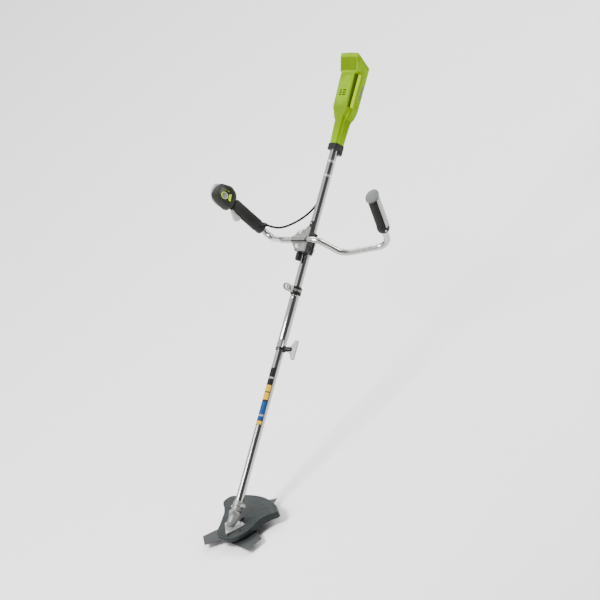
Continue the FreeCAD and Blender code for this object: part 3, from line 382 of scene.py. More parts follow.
def machined(name, colour, rough=(0.22, 0.36)):
    """Turned or plated steel with fine tool marks and slight stains."""
    n = Nodes(name)
    where = n.coordinates()
    marks, stain = n.noise(n.coordinates((1, 1, 9)), 420, 3), n.noise(where, 70, 6)
    body = n.toned(stain, colour, 0.8, 1.12)
    n.bump(marks, 0.15, 0.08)
    return n.finish(n.worn(body, shade(colour, 1.4)), n.span(stain, *rough), Metallic=1.0)


def blade_steel(name, colour):
    """Hardened blade: grinding marks streaked in one direction, dark scale and brighter rubbed corners."""
    n = Nodes(name)
    where = n.coordinates()
    scale, marks = n.noise(where, 38, 6, 0.6), n.noise(n.coordinates((1, 0.05, 1)), 900, 3)
    body = n.toned(scale, colour, 0.8, 1.2)
    n.bump(marks, 0.14, 0.08)
    return n.finish(n.worn(body, shade(colour, 2.2), 0.54, 0.66), n.span(marks, 0.34, 0.5), Metallic=0.6,
                    Specular_IOR_Level=0.2)


# name: how it is made, its colour and, where they differ from the maker's own, its other values
LOOKS = {
    "tube": (drawn_tube, (0.36, 0.36, 0.35), (0.12, 0.22)),
    "bar": (drawn_tube, (0.42, 0.42, 0.4), (0.18, 0.28), 0.015),
    "black_metal": (coated, (0.005, 0.005, 0.005)),
    "dark_metal": (coated, (0.008, 0.009, 0.0085), (0.42, 0.55)),
    "black_plastic": (plastic, (0.006, 0.006, 0.006), (0.36, 0.5)),
    "head_plastic": (plastic, (0.011, 0.012, 0.0098), (0.45, 0.58)),
    "lime": (plastic, (0.11, 0.195, 0.0), (0.36, 0.46), 0.05, 0.0, 0.05, 0.04),
    # painted shade: the darker lime of the recess liner over the lobe's side wall and groove
    "dark_lime": (plastic, (0.03, 0.058, 0.0), (0.4, 0.5), 0.05, 0.0, 0.05, 0.04),
    "slot_shadow": (plastic, (0.01, 0.014, 0.002), (0.6, 0.75)),
    "guard": (plastic, (0.0105, 0.014, 0.014), (0.42, 0.55), 0.1, 0.0, 0.05),
    "rubber": (rubber, (0.011, 0.012, 0.0105)),
    "rubber_black": (rubber, (0.005, 0.005, 0.005), 300, 0.3),
    "cable": (rubber, (0.004, 0.004, 0.004), 700, 0.1),
    "pale_plastic": (plastic, (0.3, 0.305, 0.295), (0.36, 0.48)),
    "light_plastic": (plastic, (0.33, 0.336, 0.324), (0.34, 0.46)),
    "gloss_panel": (plastic, (0.009, 0.012, 0.002), (0.3, 0.4), 0.02, 0.1, 0.08, 0.1),
    # painted shade: the darker lime of the brow on the hood's down-facing front flare
    "mid_lime": (plastic, (0.082, 0.145, 0.0), (0.4, 0.5), 0.05, 0.0, 0.05, 0.04),
    # the key cap's, lamps' and button ring's own lime, also used as painted highlight on the housing's
    # shoulder rim
    "bright_lime": (plastic, (0.3, 0.44, 0.004), (0.34, 0.44), 0.04, 0.0, 0.05, 0.06),
    "cast_silver": (cast, (0.18, 0.186, 0.174)),
    "cast_pale": (cast, (0.2, 0.208, 0.198), (0.4, 0.55), 0.7),
    "nose_grey": (plastic, (0.1, 0.104, 0.104), (0.4, 0.5)),
    "zinc": (machined, (0.55, 0.55, 0.54)),
    "bright_zinc": (machined, (0.95, 0.95, 0.93)),
    "steel": (machined, (0.45, 0.45, 0.45)),
    "dark_steel": (machined, (0.16, 0.16, 0.165), (0.35, 0.5)),
    "blade": (blade_steel, (0.025, 0.027, 0.027)),
}
MATERIALS = {name: make(name, *values) for name, (make, *values) in LOOKS.items()}


def placed(name, shape, place, weld=False):
    """New object with a shape set in the row frame, in metres, its faces turned outwards."""
    mesh = bpy.data.meshes.new(name)
    to_row = Matrix.Scale(MM, 4) @ place
    mesh.from_pydata([to_row @ Vector(v) for v in shape[0]], [], shape[1])
    build = bmesh.new()
    build.from_mesh(mesh)
    if weld:
        bmesh.ops.remove_doubles(build, verts=build.verts, dist=1e-7)
    bmesh.ops.recalc_face_normals(build, faces=build.faces)
    build.to_mesh(mesh)
    build.free()
    piece = bpy.data.objects.new(name, mesh)
    bpy.context.scene.collection.objects.link(piece)
    return piece


def add(name, shape, place, body, material, bevel=0.0, replaces=(), angle=35):
    """Makes one finished piece and hangs it on its body."""
    piece = placed(name, shape, place, weld=True)
    piece.data.materials.append(MATERIALS[material])
    soften(piece, bevel, angle)
    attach(piece, body)
    if replaces:
        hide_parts(*replaces)
    return piece


def soften(piece, bevel, angle=35):
    """Rounds a piece's edges by bevel millimetres and shades it smooth up to an angle."""
    piece.data.shade_smooth()
    piece.data.set_sharp_from_angle(angle=math.radians(angle))
    if bevel:
        edge = piece.modifiers.new("edge", "BEVEL")
        edge.width = bevel * MM
        edge.segments = 3
        edge.limit_method = "ANGLE"
        edge.angle_limit = math.radians(angle)
        edge.harden_normals = True


def carve(piece, *cutters):
    """Cuts shapes, in the row frame, out of a piece before its edges are rounded."""
    for number, (shape, place) in enumerate(cutters):
        tool = placed("cutter", shape, place)
        cut = piece.modifiers.new("cut%d" % number, "BOOLEAN")
        cut.operation = "DIFFERENCE"
        cut.solver = "EXACT"
        cut.object = tool
        piece.modifiers.move(len(piece.modifiers) - 1, 0)
        bake(piece, 1)
        bpy.data.objects.remove(tool)


def bake(piece, count):
    """Applies a piece's first modifiers to its mesh and keeps the rest."""
    kept = [m for m in piece.modifiers][count:]
    for modifier in kept:
        modifier.show_viewport = False
    graph = bpy.context.evaluated_depsgraph_get()
    graph.update()
    mesh = bpy.data.meshes.new_from_object(piece.evaluated_get(graph))
    old = piece.data
    piece.data = mesh
    bpy.data.meshes.remove(old)
    for modifier in [m for m in piece.modifiers][:count]:
        piece.modifiers.remove(modifier)
    for modifier in kept:
        modifier.show_viewport = True


def dress(node, material, bevel=0.0):
    """Finishes a CAD node that stays as it is: its material and a broken edge."""
    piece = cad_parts[node]
    if not piece.material_slots:
        piece.data.materials.append(None)
    for slot in piece.material_slots:
        slot.link = "OBJECT"
        slot.material = MATERIALS[material]
    if bevel:
        edge = piece.modifiers.new("edge", "BEVEL")
        edge.width = bevel * MM
        edge.segments = 2
        edge.limit_method = "ANGLE"
        edge.angle_limit = math.radians(50)


# ---- carried-over CAD nodes ----
DRESSED = {
    "upper_tube": ("tube", 0),
    "lower_tube": ("tube", 0),
    "handle_bar": ("bar", 0),
    "harness_bush": ("rubber_black", 0.3),
    "motor_can": ("steel", 0),
    "motor_rotor": ("dark_steel", 0),
    "motor_bearing": ("zinc", 0),
    "controller_board": ("slot_shadow", 0),
    "battery_terminal": ("black_plastic", 0.2),
    "upper_shaft_bushes": ("rubber_black", 0),
    "lower_shaft_bushes": ("rubber_black", 0),
    "upper_drive_shaft": ("steel", 0),
    "lower_drive_shaft": ("steel", 0),
    "bevel_pinion": ("steel", 0),
    "bevel_gear": ("steel", 0),
    "gearbox_bearings": ("zinc", 0),
    "spindle_shaft": ("steel", 0),
    "trigger_pin": ("steel", 0),
    "blade_flange": ("dark_steel", 0),
    "blade_rider": ("steel", 0),
    "blade_nut": ("zinc", 0.4),
    "battery_latch": ("black_plastic", 0.5),
    "bracket_strip": ("black_metal", 0),
    "blade": ("blade", 0.5),
}
for node_name, (look, edge_width) in DRESSED.items():
    dress(node_name, look, edge_width)


# ---- motor housing ----
HOUSING_SECTIONS = [
    # level, y of the ridge, then corners (x, y, rounding): lobe, groove, shoulder, side and back
    (487, -18.4, [(12.5, -17, 4), (14.6, -9, 1), (17.4, -9.8, 1), (20, -7, 2), (20, 18, 7)]),
    (489.5, -18.4, [(12.7, -17, 4), (14.7, -9, 1), (17.5, -9.8, 1), (20.1, -7, 2), (20.1, 18.1, 7)]),
    (560, -21.6, [(15, -20, 5), (16.8, -10.5, 1), (20.6, -11.2, 1), (22.7, -8, 2), (22.7, 19.9, 8)]),
    (566, -21.9, [(15.6, -20.3, 5), (17.6, -10.8, 1), (23.4, -11.5, 1), (25.4, -8, 2), (25.4, 20.2, 8)]),
    (576, -22.6, [(17.6, -21, 5), (20.4, -11.4, 1), (30.4, -12.9, 1), (33.6, -8.2, 2), (33.6, 20.8, 8)]),
    (597, -29.8, [(30.6, -26.2, 6), (32.6, -13.5, 1), (35.4, -17, 1.2), (39.2, -9, 2), (39.2, 21.3, 8)]),
    (602, -31.0, [(31.8, -27.0, 6), (32.8, -13.5, 1), (35.9, -17.6, 1.2), (39.6, -9, 2), (39.6, 21.5, 8)]),
    (650, -33.6, [(31.3, -29.6, 6), (32.2, -13.5, 1), (36, -17.9, 1.2), (39.6, -9, 2), (39.6, 21.5, 8)]),
    (713, -36.6, [(30.8, -32.6, 6), (31.8, -13.5, 1), (36, -18, 1.2), (39.6, -9, 2), (39.6, 21.5, 8)]),
    (714.5, -36.6, [(31.2, -32.4, 6), (32.2, -13.6, 1), (36.4, -18, 1.2), (39.6, -9, 2), (39.6, 21.5, 8)]),
    (720.5, -35.6, [(39.3, -30.0, 5), (39.4, -19, 0.5), (39.5, -14, 0.5), (39.6, -9, 1), (39.6, 21.5, 8)]),
    (740, -40.8, [(39.4, -37.0, 5), (39.4, -19, 0.5), (39.5, -14, 0.5), (39.6, -9, 1), (39.6, 21.5, 8)]),
    (762, -46.0, [(39.6, -44.2, 4), (39.6, -22, 0.5), (39.6, -15, 0.5), (39.6, -9, 1), (39.6, 21.5, 8)]),
    (764, -46.8, [(39.6, -45.2, 4), (39.6, -22, 0.5), (39.6, -15, 0.5), (39.6, -9, 1), (39.6, 21.5, 8)]),
    (790, -47.2, [(39.6, -46.0, 4), (39.6, -22, 0.5), (39.6, -15, 0.5), (39.6, -9, 1), (39.6, 21.5, 8)]),
]
HOUSING_TOP, HOUSING_TOP_BACK = 775, 742
HALF_GAP = 0.15


def housing_loop(side, level, ridge, corners):
    """Half of the housing's outline at one level, each corner drawn as a short curve."""
    points = [(HALF_GAP, ridge)] + [(x, y) for x, y, _ in corners] + [(HALF_GAP, corners[-1][1])]
    radii = [0] + [rounding for _, _, rounding in corners] + [0]
    out = []
    for i, corner_point in enumerate(points):
        here = Vector(corner_point)
        before, after = Vector(points[i - 1]), Vector(points[(i + 1) % len(points)])
        a, b = before - here, after - here
        reach = max(min(radii[i] * 1.3, 0.45 * a.length, 0.45 * b.length), 0.01)
        start, end = here + a.normalized() * reach, here + b.normalized() * reach
        for k in range(6):
            t = k / 5
            p = start * (1 - t) ** 2 + here * 2 * t * (1 - t) + end * t ** 2
            out.append((side * p.x, p.y, level))
    return out


def make_housing():
    """Two moulded shells: a ridged front lobe under a flaring hood, on a wider back."""
    slope = (HOUSING_TOP - HOUSING_TOP_BACK) / (46 + 21.5)
    for name, side in (("left", 1), ("right", -1)):
        node = "housing_" + name
        loops = [housing_loop(side, *section) for section in HOUSING_SECTIONS]
        shell = add("housing_shell_" + name, loft(loops), SHAFT, "frame", "lime", 0.8, [node], 24)
        top = [(-90, HOUSING_TOP + slope * 44), (90, HOUSING_TOP_BACK - slope * 68.5), (90, 900), (-90, 900)]
        wedge = plate([(z, -y) for y, z in top], -90, 90)
        turn = Matrix(((0, 0, 1, 0), (0, -1, 0, 0), (1, 0, 0, 0), (0, 0, 0, 1)))
        cutters = [moved(wedge, turn), box((-28, 10, 672), (28, 16.5, 900)),
                   box((-22, 16, 672), (22, 40, 900)), box((-6.3, 2.8, 699.7), (6.3, 12, 712.3)),
                   peg(13, 480, 560)]
        for row in range(3):
            low = 640 + row * 7.2
            slot = xz_plate(rounded([(2, low), (14.5, low), (14.5, low + 4), (2, low + 4)], 0.8), -45, -29.5)
            cutters.append(mirrored(slot, side))
        for y in (-4.5, 13.4):
            cutters.append(mirrored(box((38.6, y, 614), (45, y + 2.4, 726)), side))
        for z in (606, 612, 618, 624):
            cutters.append(mirrored(box((38.4, 0, z), (45, 9, z + 2.6)), side))
        for y, z in ((-20, 748), (-8, 743), (4, 738)):
            cutters.append(mirrored(box((38.2, y, z), (45, y + 8, z + 3.5)), side))
        badge = [(4.6, 637), (11.4, 637), (11.4, 682), (4.6, 682)]
        cutters.append(mirrored(yz_plate(rounded(badge, 3.4, 8), 38.8, 45), side))
        carve(shell, *[(cutter, SHAFT) for cutter in cutters])
        shell.data.shade_smooth()
        pad = rounded([(5.2, 637.6), (10.8, 637.6), (10.8, 681.4), (5.2, 681.4)], 2.8, 8)
        backing = box((1.4, -30.4, 638.6), (15.2, -28.6, 659.6))
        # The brow is a darker lime skin on the hood's front flare: painted shade where the flare faces down
        # and away from the lights.
        painted_shade_brow = []
        for y, side_y, x, z in ((-36.6, -31.4, 33.8, 722.5), (-41.2, -37.6, 33.9, 740),
                                (-45.9, -43.9, 34.1, 760.5)):
            painted_shade_brow.append([(HALF_GAP, y - 0.35, z), (x, side_y - 1.3, z), (x, side_y + 2, z),
                         (HALF_GAP, y + 2, z)])
        # The recess liner is a darker lime skin over the lobe's side wall and the groove: painted shade where
        # they face away from the lights.
        low = [(32.1, -25), (33.1, -13.6), (35.4, -16.6), (35, -12.4), (31, -12.4), (31, -25)]
        high = [(31.2, -30), (32.1, -13.6), (35.6, -17), (35, -12.4), (30, -12.4), (30, -30)]
        painted_shade_liner = [[(*p, 604) for p in low], [(*p, 713) for p in high]]
        # The rim is a paler lime strip on the shoulder's chamfer: painted highlight where the chamfer faces
        # the lights.
        lip = [(35.2, -15.6), (36.3, -18.6), (40.0, -9.6), (39.0, -8.6)]
        trim = [("pad", yz_plate(pad, 38.4, 39.5), "nose_grey", 0.3), ("slots", backing, "slot_shadow", 0),
                ("painted_shade_brow", loft(painted_shade_brow), "mid_lime", 0.3), ("recess", loft(painted_shade_liner), "dark_lime", 0),
                ("rim", plate(lip, 603, 713), "bright_lime", 0.4)]
        for part, shape, look, bevel in trim:
            add("housing_%s_%s" % (part, name), mirrored(shape, side), SHAFT, "frame", look, bevel)


def make_collar():
    """Black collar under the neck, cut away in front, with the cable's gland behind."""
    bore = (peg(TUBE_BORE, 440, 500), SHAFT)
    main = rounded([(-19, -17), (19, -17), (19, 21), (-19, 21)], 6)
    back = rounded([(-19, 3), (19, 3), (19, 21), (-19, 21)], 6)
    body = add("collar_body", plate(main, 466, 487), SHAFT, "frame", "black_plastic", 1.2,
               ["neck_collar"])
    carve(body, bore)
    skirt = add("collar_skirt", plate(back, 455, 466.5), SHAFT, "frame", "black_plastic", 1.2)
    carve(skirt, bore, (peg(4.2, 440, 470), SHAFT @ shift(CABLE_SEAT)))
    for number, z in enumerate((470.5, 474.5, 478.5)):
        band = rounded([(-19.25, -17.25), (19.25, -17.25), (19.25, 21), (-19.25, 21)], 6)
        rib = add("collar_rib_%d" % number, plate(band, z, z + 1.6), SHAFT, "frame", "black_plastic",
                  0.4)
        carve(rib, bore)


HOUSING_SCREWS = [(-21.2, -8, 520), (-22.3, 8, 550), (-39.6, -3, 630), (-39.6, 12, 640), (-39.6, -18, 744)]


def make_housing_screws():
    """Cross-head screws sunk in the right half."""
    heads = [moved(cross_screw(2.5, 1.6), axis_to((-1, 0, 0), (x + 1.4, y, z))) for x, y, z in HOUSING_SCREWS]
    add("housing_screw_heads", joined(*heads), SHAFT, "frame", "dark_steel", 0,
        ["housing_screws"])


# ---- harness clamp ----
def make_harness():
    """Silver hanging lug of two riveted plates, on a silver band between black rubber edges."""
    lug_side = [(-13, 10.5), (-24, 11), (-EYE_REACH, 11)]
    lug_side += [(-EYE_REACH + y, z) for y, z in arc_points(11, range(90, 271, 15))]
    lug_side += [(-24, -11), (-13, -10.5)]
    for number, (low, high) in enumerate(((1, 3), (-3, -1))):
        leaf = add("harness_leaf_%d" % number, yz_plate(lug_side, low, high), SHAFT, "frame", "cast_silver",
                   0.5, ["harness_band"] if number == 0 else [])
        eye = moved(peg(5.5, -10, 10), axis_to((1, 0, 0), (0, -EYE_REACH, 0)))
        carve(leaf, (eye, SHAFT))
    rings = []
    for side in (-1, 1):
        eyelet = lathe([(5.5, 1.2), (7.6, 1.2), (8.0, 3.2), (7.4, 3.9), (5.9, 3.9), (5.5, 3.4)], 36)
        rings.append(moved(eyelet, axis_to((side, 0, 0), (0, -EYE_REACH, 0))))
        for z in (-7.4, 7.4):
            rings.append(box((side * 2.2 - 1.2, -38, z - 1.0), (side * 2.2 + 1.2, -17, z + 1.0)))
    add("harness_eyelet", joined(*rings), SHAFT, "frame", "zinc", 0.25)
    band = lathe([(15, -11), (16.9, -11), (16.9, -5), (16.3, -4.2), (16.3, 4.2), (16.9, 5), (16.9, 11),
                  (15, 11)], 56)
    strap = add("harness_strap", band, SHAFT, "frame", "black_metal", 0.3)
    carve(strap, (box((-1, -30, -20), (1, -8, 20)), SHAFT))
    edge = lathe([(16.3, -4), (17, -3.6), (17, 3.6), (16.3, 4)], 56)
    silver = add("harness_strap_plate", edge, SHAFT, "frame", "cast_silver", 0.2)
    carve(silver, (box((-1.4, -30, -20), (1.4, -8, 20)), SHAFT))
    head = moved(bolt_head(4.6, 4), axis_to((1, 0, 0), (3, -25, 0)))
    nut = moved(plate(arc_points(5, range(0, 360, 60)), 0, 4), axis_to((-1, 0, 0), (-3, -25, 0)))
    shank = moved(peg(2.5, -3.2, 3.2, 24), axis_to((1, 0, 0), (0, -25, 0)))
    add("harness_screw", joined(head, nut, shank), SHAFT, "frame", "zinc", 0.3,
        ["harness_bolt"])


# ---- coupler ----
KNOB_WAY = Vector((math.cos(math.radians(16)), math.sin(math.radians(16)), 0))
BOSS_FRAME = SHAFT @ axis_to(KNOB_WAY, (0, 0, -190))
KNOB_FRAME = BOSS_FRAME @ Matrix.Rotation(math.radians(90), 4, "Z")
TO_BUTTON = axis_to((-1, 0, 0), (0, 0, -172))


def make_coupler():
    """Moulded sleeve with a stiffened mouth, a boss for the wing knob and grooves for a firm hold."""
    sleeve = lathe([(13.05, -198), (15.6, -198), (15.9, -196.5), (15.9, -189), (14.7, -187), (14.7, -166),
                    (14.2, -165), (14.2, -162), (14.7, -161), (14.7, -30), (14.3, -28.5), (14.3, -26),
                    (14.7, -24.5), (14.7, -18), (14.2, -17), (13.05, -17)], 64)
    body = add("coupler_body", sleeve, SHAFT, "frame", "tube", 0.3, ["coupler_sleeve"])
    lip = lathe([(14.6, -198), (15.9, -197.6), (15.9, -188.4), (14.6, -187.2)], 64)
    boss = lathe([(0, 12), (12, 12), (10.4, 15), (8.6, 18), (8, 21), (8, 23.6), (7.4, 24), (3.05, 24),
                  (3.05, 13), (0, 13)], 40)
    add("coupler_boss", boss, BOSS_FRAME, "frame", "black_plastic", 0.3)
    add("coupler_lip", lip, SHAFT, "frame", "black_plastic", 0.3)
    pad_outline = rounded([(-5.5, -9), (5.5, -9), (5.5, 9), (-5.5, 9)], 2.5)
    seat = moved(plate(pad_outline, 13.2, 15.2), TO_BUTTON)
    block = add("coupler_button_seat", seat, SHAFT, "frame", "black_plastic", 0.6)
    carve(block, (moved(peg(2.95, 5, 25), TO_BUTTON), SHAFT))
    dots = []
    for x in (-0.36, 0.36):
        dots.append(moved(bolt_head(1.7, 1.0), axis_to((x, -0.93, 0), (14.3 * x, -14.3 * 0.93, -192))))
    add("coupler_rivets", joined(*dots), SHAFT, "frame", "dark_steel", 0)

    hub = lathe([(3, -1.2), (8.2, -1.2), (8.5, 1.5), (8.3, 9), (6.8, 15.8), (3, 15.8)], 36)
    hub = moved(hub, shift((0, 0, 25.6)))
    stem = peg(3, 13.6, 30, 24)
    outline = [(-7, 28), (7, 28), (15, 39), (31.5, 45), (31.5, 56), (-31.5, 56), (-31.5, 45), (-15, 39)]
    wing = xz_plate(rounded(outline, 5), -4, 4)
    add("knob_hub", joined(hub, stem), KNOB_FRAME, "coupler_knob", "black_plastic", 0.3)
    piece = add("knob_wing", wing, KNOB_FRAME, "coupler_knob", "pale_plastic", 1.6,
                ["coupler_knob"])
    dish = rounded([(-9, 38), (9, 38), (20, 46), (20, 51), (-20, 51), (-20, 46)], 3)
    for low, high in ((-4.2, -3.2), (3.2, 4.2)):
        carve(piece, (xz_plate(dish, low, high), KNOB_FRAME))
    tips = [mirrored(box((30.6, -2.6, 47), (31.7, 2.6, 54)), side) for side in (-1, 1)]
    add("knob_tips", joined(*tips), KNOB_FRAME, "coupler_knob", "nose_grey", 0.3)

    button = lathe([(0, 11.6), (2.9, 11.6), (2.9, 18.2), (4.5, 18.4), (4.5, 19.8), (3.8, 20.6), (2.6, 20.3),
                    (0, 20.1)], 32)
    add("button_cap", moved(button, TO_BUTTON), SHAFT, "release_button", "zinc",
        0.15, ["release_button"])


# ---- handlebar bracket ----
BRACKET_ENDS = (122, 190)
BRACKET_KNOB = shift((0, -28, 0))
BOLT_STEPS = (-23, 23)
FACING_FRONT = Matrix.Rotation(math.pi / 2, 4, "X")


def make_bracket():
    """Black seat and saddle on the tube, with a cast silver cap over the bar."""
    seat_side = rounded([(-20, -38), (20, -38), (20, -6), (18.5, -0.5), (-18.5, -0.5), (-20, -6)], 2.4)
    seat = add("bracket_seat", plate(seat_side, *BRACKET_ENDS), SHAFT, "frame", "dark_metal",
               1.4, ["bracket_base"])
    saddle_side = [(-20, 0.5), (-20, 8)] + arc_points(18.5, range(150, 29, -8)) + [(20, 8), (20, 0.5)]
    saddle = add("bracket_saddle", plate(saddle_side, *BRACKET_ENDS), SHAFT, "frame", "black_metal",
                 1.4, ["bracket_clamp"])
    tube = peg(TUBE_BORE, 100, 210, 56)
    bar = moved(peg(BAR_BORE, -60, 60), axis_to((1, 0, 0), (0, -38, 156)))
    stem = peg(3.1, 110, 130, 24)
    pocket = [box((-30, -30, 130), (-17.6, -7, 144)), box((-30, -30, 168), (-17.6, -7, 182))]
    pocket += [mirrored(shape, -1) for shape in pocket]
    carve(seat, (tube, SHAFT), (bar, SHAFT), (stem, SHAFT @ BRACKET_KNOB),
          *[(shape, SHAFT) for shape in pocket])
    carve(saddle, (tube, SHAFT))
    ribs = [box((-18, 13.6, z), (18, 15.2, z + 2.2)) for z in (140, 155, 170)]
    add("bracket_saddle_ribs", joined(*ribs), SHAFT, "frame", "black_metal", 0.5)

    wide, long = 31, 40.5
    outline = [(wide, -long + 2), (wide, long + 2), (wide - 11, long + 2), (wide - 14, long - 7),
               (-2, long - 9), (-13, long - 13), (-wide + 4, 10), (-wide, 2), (-wide + 3, -13),
               (-17, -long + 15), (-6, -long + 6), (6, -long + 2)]
    cap = add("bracket_cap_plate", xz_plate(rounded(outline, 6), -7.4, -0.4), BAR, "frame", "cast_silver",
              1.5, ["bracket_cap"])
    wells = []
    for step in BOLT_STEPS:
        well = lathe([(0, -7.9), (8.6, -7.9), (8.0, -5.8), (0, -5.8)], 36)
        wells.append((moved(well, shift((0, 0, step)) @ Matrix.Rotation(-math.pi / 2, 4, "X")), BAR))
    bore = moved(peg(BAR_BORE, -60, 60), axis_to((1, 0, 0)))
    carve(cap, (bore, BAR), *wells)
    crown, inner = arc_points(14.2, range(183, 358, 7)), arc_points(BAR_BORE, range(357, 182, -7))
    half_ring = [(y, x) for x, y in crown + inner]
    ridge = yz_plate(half_ring, -wide + 1.5, wide - 0.6)
    ridge_piece = add("bracket_cap_ridge", ridge, BAR, "frame", "cast_silver", 0.8)
    slot = yz_plate([(-16, -7.5), (-8, -7.5), (-8, -5.2), (-16, -5.2)], -wide, wide)
    score = yz_plate([(-15.2, 2.6), (-13.4, 2.6), (-13.4, 3.8), (-15.2, 3.8)], -wide, wide)
    carve(ridge_piece, (slot, BAR), (score, BAR))
    # A black strip set in the slot across the cap's ridge: painted shadow inside the slot.
    shadow = yz_plate([(-13.6, -8.6), (-11, -8.6), (-11, -5.0), (-13.6, -5.0)], -wide + 2, wide - 1)
    add("bracket_cap_gap_shadow", shadow, BAR, "frame", "black_metal", 0.3)

    bolts = []
    for step in BOLT_STEPS:
        washer = lathe([(0, 0), (7.2, 0), (7.4, 0.9), (3, 1.2), (0, 1.2)], 32)
        bolts.append(moved(washer, shift((0, -6.6, step)) @ FACING_FRONT))
        bolts.append(moved(bolt_head(6.2, 5.2), shift((0, -7.4, step)) @ FACING_FRONT))
    add("cap_bolts", joined(*bolts), BAR, "frame", "bright_zinc", 0.25, ["bracket_bolts"])
    studs = []
    for z in (199.5, 220):
        studs.append(moved(bolt_head(3.4, 2.8, False), shift((0, -15.0, z)) @ FACING_FRONT))
    for x in (-16.5, 16.5):
        for z in (134, 178):
            studs.append(moved(cross_screw(3.6, 2.6), axis_to((0, 1, 0), (x, 9, z))))
    add("bracket_screws", joined(*studs), SHAFT, "frame", "zinc", 0.2)

    count = 60
    loops = []
    levels = ((91, 0.72), (92, 0.86), (95, 0.97), (100, 1.0), (112, 1.0), (116, 0.94), (118.4, 0.8),
              (119, 0.7))
    for z, grow in levels:
        loop = []
        for k in range(count):
            a = 2 * math.pi * k / count
            r = grow * (9.7 + 0.75 * math.cos(6 * a))
            loop.append((r * math.cos(a), -28 + r * math.sin(a), z))
        loops.append(loop)
    add("bracket_knob_body", loft(loops), SHAFT, "bracket_knob", "black_plastic", 0.2,
        ["bracket_knob"])
    stem = moved(peg(3, 117, 128, 24), BRACKET_KNOB)
    washer = moved(lathe([(3, 119.4), (6, 119.4), (6, 120.6), (3, 120.6)], 32), BRACKET_KNOB)
    tip = moved(bolt_head(3.2, 1.6), shift((0, -28, 91)) @ Matrix.Rotation(math.pi, 4, "X"))
    add("bracket_knob_stem", joined(stem, washer, tip), SHAFT, "bracket_knob", "zinc", 0.1)


# ---- hand grips ----
def half_turned(profile, inner, side, steps=28):
    """Half of a turned grip shell, on the +y or -y side, hollow over the bar."""
    turns = [math.pi * k / steps for k in range(steps + 1)]
    loops = []
    for radius, height in profile:
        around = [(radius, a) for a in turns] + [(inner, a) for a in turns[::-1]]
        loops.append([(r * math.cos(a), side * (0.12 + r * math.sin(a)), height) for r, a in around])
    return loft(loops)


def grooved(low, high, radius, first, last, step, depth):
    """Profile of a grip from low to high, with rounded grooves from first to last."""
    profile = [(radius - 1.2, low), (radius, low + 1.5)]
    height = first
    while height < last:
        profile += [(radius, height), (radius - depth, height + 0.5), (radius - depth, height + step * 0.3),
                    (radius, height + step * 0.3 + 0.5)]
        height += step
    return profile + [(radius, high - 1.5), (radius - 1.2, high)]


def make_throttle_grip():
    """Right grip in two rubber shells on a black ferrule, with the cable's gland and the trigger."""
    ferrule = lathe([(10.05, -4), (14, -4), (16.8, -1.2), (17.8, 1.5), (18.6, 3.4), (19, 6), (19, 9.6),
                     (18.3, 10.4), (18.3, 12), (18.9, 12.8), (18.6, 17.9), (10.05, 17.9)], 56)
    add("throttle_ferrule_body", ferrule, RIGHT_HAND, "handlebar", "black_plastic", 0,
        ["throttle_ferrule"])
    start, following = Vector(CABLE_POINTS[0]), Vector(CABLE_POINTS[1])
    way = (following - start).normalized()
    relief = lathe([(0, -15), (5.4, -15), (5.4, -4), (4.9, -3.2), (4.9, -2.2), (5.1, -1.6), (4.7, 0),
                    (3.55, 0), (3.55, -3), (0, -3)], 32)
    add("throttle_gland", relief, SHAFT @ axis_to(way, start), "handlebar", "black_plastic")
    body = grooved(18, 120, 19.7, 24, 46, 4.4, 0.7)
    for name, side in (("inner", 1), ("outer", -1)):
        node = "throttle_grip_" + name
        grip = add(node + "_skin", half_turned(body, BAR_BORE, side), RIGHT_HAND, "handlebar", "rubber",
                   0, [node], 60)
        carve(grip, (box((8, -6.6, 71), (30, 6.6, 125)), RIGHT_HAND))
    blade = [(19, 75.4), (30, 74.3), (40.7, 83), (38.8, 90), (25, 113.6), (13, 113.6), (13, 106), (19.5, 101)]
    wedge = xz_plate(rounded(blade, 3), -5.4, 5.4)
    add("trigger_body", wedge, RIGHT_HAND, "trigger", "light_plastic", 1.6, ["trigger"])


HEAD_CENTRE = (0, 160)
HEAD_OUTLINE = [(-17, 198), (-39, 157), (-27, 131), (-6, 120.5), (26, 120.5), (35, 134), (33, 170), (24, 196)]
FACE_OUTLINE = [(-14, 189), (-30, 157), (-20, 136), (-2, 129), (23, 129), (27, 138), (25, 168), (18, 187)]


def shrunk(outline, factor):
    """Outline of (x, z) scaled about the head's centre."""
    mid_x, mid_z = HEAD_CENTRE
    return [(mid_x + (x - mid_x) * factor, mid_z + (z - mid_z) * factor) for x, z in outline]


def stack(outline, levels, radius, steps=8):
    """Loft along y over scaled copies of an outline of (x, z): levels of (y, scale)."""
    loops = []
    for level, factor in levels:
        around = rounded(shrunk(outline, factor), radius * factor, steps)
        loops.append([(p[0], level, p[1]) for p in around])
    return loft(loops)


